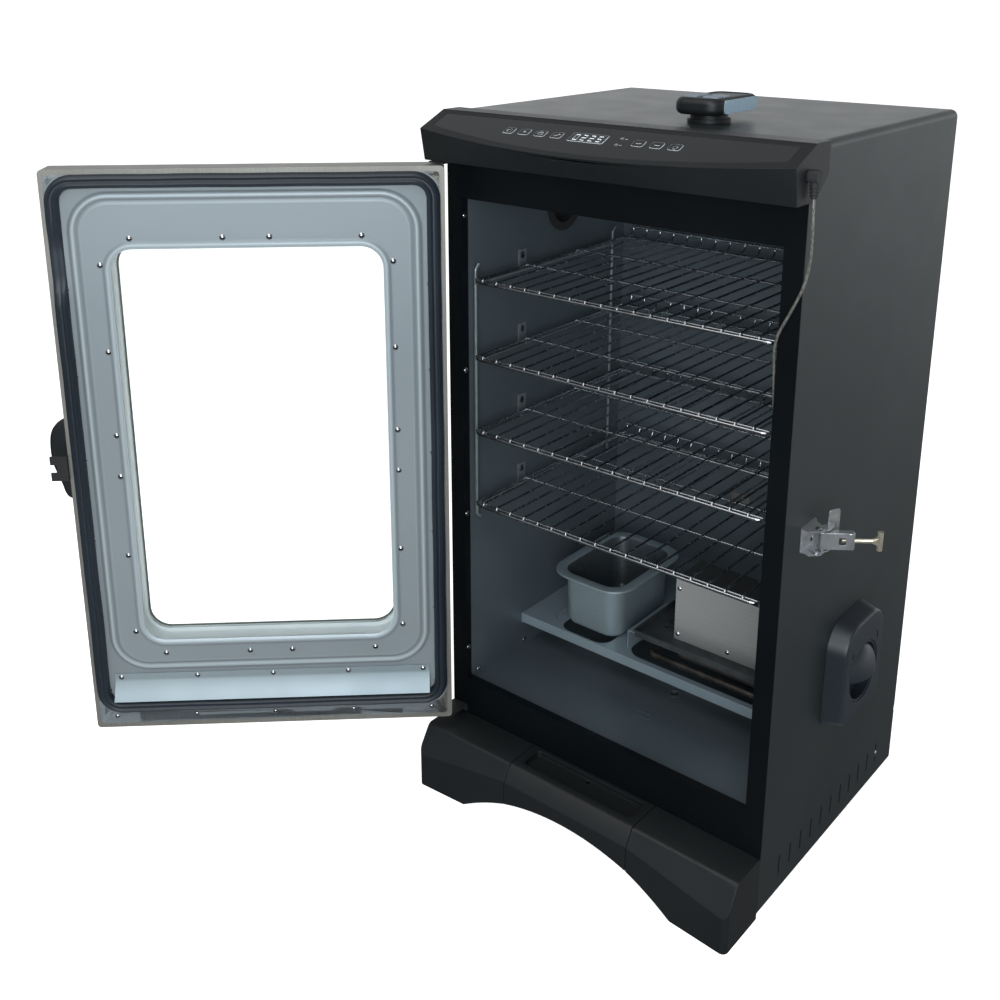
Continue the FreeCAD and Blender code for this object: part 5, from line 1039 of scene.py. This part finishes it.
def flat_sheet(name, low, high, material):
    """A level rectangle between two corners, as part of the stage."""
    mesh = bpy.data.meshes.new(name)
    outline = ((low.x, low.y), (high.x, low.y), (high.x, high.y), (low.x, high.y))
    corners = [(x, y, low.z) for x, y in outline]
    mesh.from_pydata(corners, [], [(0, 1, 2, 3)])
    mesh.materials.append(material)
    sheet = bpy.data.objects.new(name, mesh)
    bpy.context.scene.collection.objects.link(sheet)
    return sheet


def build_floor():
    """Plain pale floor with the faintest mottling, left out of mirror images."""
    material, tree, shader, coords = new_material("studio_floor")
    clouds = noise_field(tree, coords, 1.2)
    tone = mixed_colour(tree, ranged(tree, clouds, 0, 1), (0.93, 0.93, 0.93), (0.96, 0.96, 0.96))
    tree.links.new(tone, shader.inputs["Base Color"])
    shader.inputs["Roughness"].default_value = 0.9
    shader.inputs["Emission Strength"].default_value = 0.85
    shader.inputs["Emission Color"].default_value = (1, 1, 1, 1)
    far_corner = Vector((FLOOR_HALF, FLOOR_HALF, 0))
    floor = flat_sheet("studio_floor", -far_corner, far_corner, material)
    floor.visible_glossy = False


def build_underside():
    """The dim patch of floor right under the cabinet, seen through the skirt's slots."""
    low = CABINET + Vector((SHADE[0], SHADE[1], SHADE_LIFT))
    high = CABINET + Vector((SHADE[2], SHADE[3], SHADE_LIFT))
    flat_sheet("floor_shade", low, high, MATERIALS["dark_steel"])


def build_camera():
    """Camera at the viewing angle solved from the object's own straight edges."""
    data = bpy.data.cameras.new("camera")
    data.lens = CAMERA_LENS
    data.shift_x, data.shift_y = CAMERA_SHIFT
    camera = bpy.data.objects.new("camera", data)
    turn = Matrix.Rotation(math.radians(CAMERA_YAW), 4, "Z")
    tilt = Matrix.Rotation(math.radians(90 - CAMERA_PITCH), 4, "X")
    roll = Matrix.Rotation(math.radians(CAMERA_ROLL), 4, "Z")
    camera.matrix_world = Matrix.Translation(CABINET + CAMERA_PLACE) @ turn @ tilt @ roll
    bpy.context.scene.collection.objects.link(camera)
    bpy.context.scene.camera = camera


def build_stage():
    """World, lights, floor and camera."""
    bpy.context.scene.view_settings.view_transform = "Standard"
    build_world()
    area_light("top_light", (-0.2, -1.5, 3.2), (0, 0, 0.4), size=2.4, power=38, tone=(1.0, 1.0, 1.0))
    area_light("shoulder_light", (0.9, -2.0, 2.8), (0.2, 0, 0.3), size=0.9, power=13, tone=(0.8, 0.9, 1.0))
    area_light("key_light", (2.1, -3.15, 1.4), (0, 0, 0.45), size=2.0, power=95, tone=(0.88, 0.95, 1.0))
    build_floor()
    build_underside()
    build_camera()


# ---------------------------------------------------------------- put together


dress_cad_nodes()
smooth_cad_nodes()
for rack_number in (1, 2, 3, 4):
    build_rack(rack_number)
build_water_pan()
build_door_panel()
build_gasket()
build_wool("cabinet_wool", "cabinet_insulation", "cabinet")
build_wool("door_wool", "door_insulation", "door")
slope = slope_finder()
build_panel_print(slope)
build_digits(slope)
build_stage()
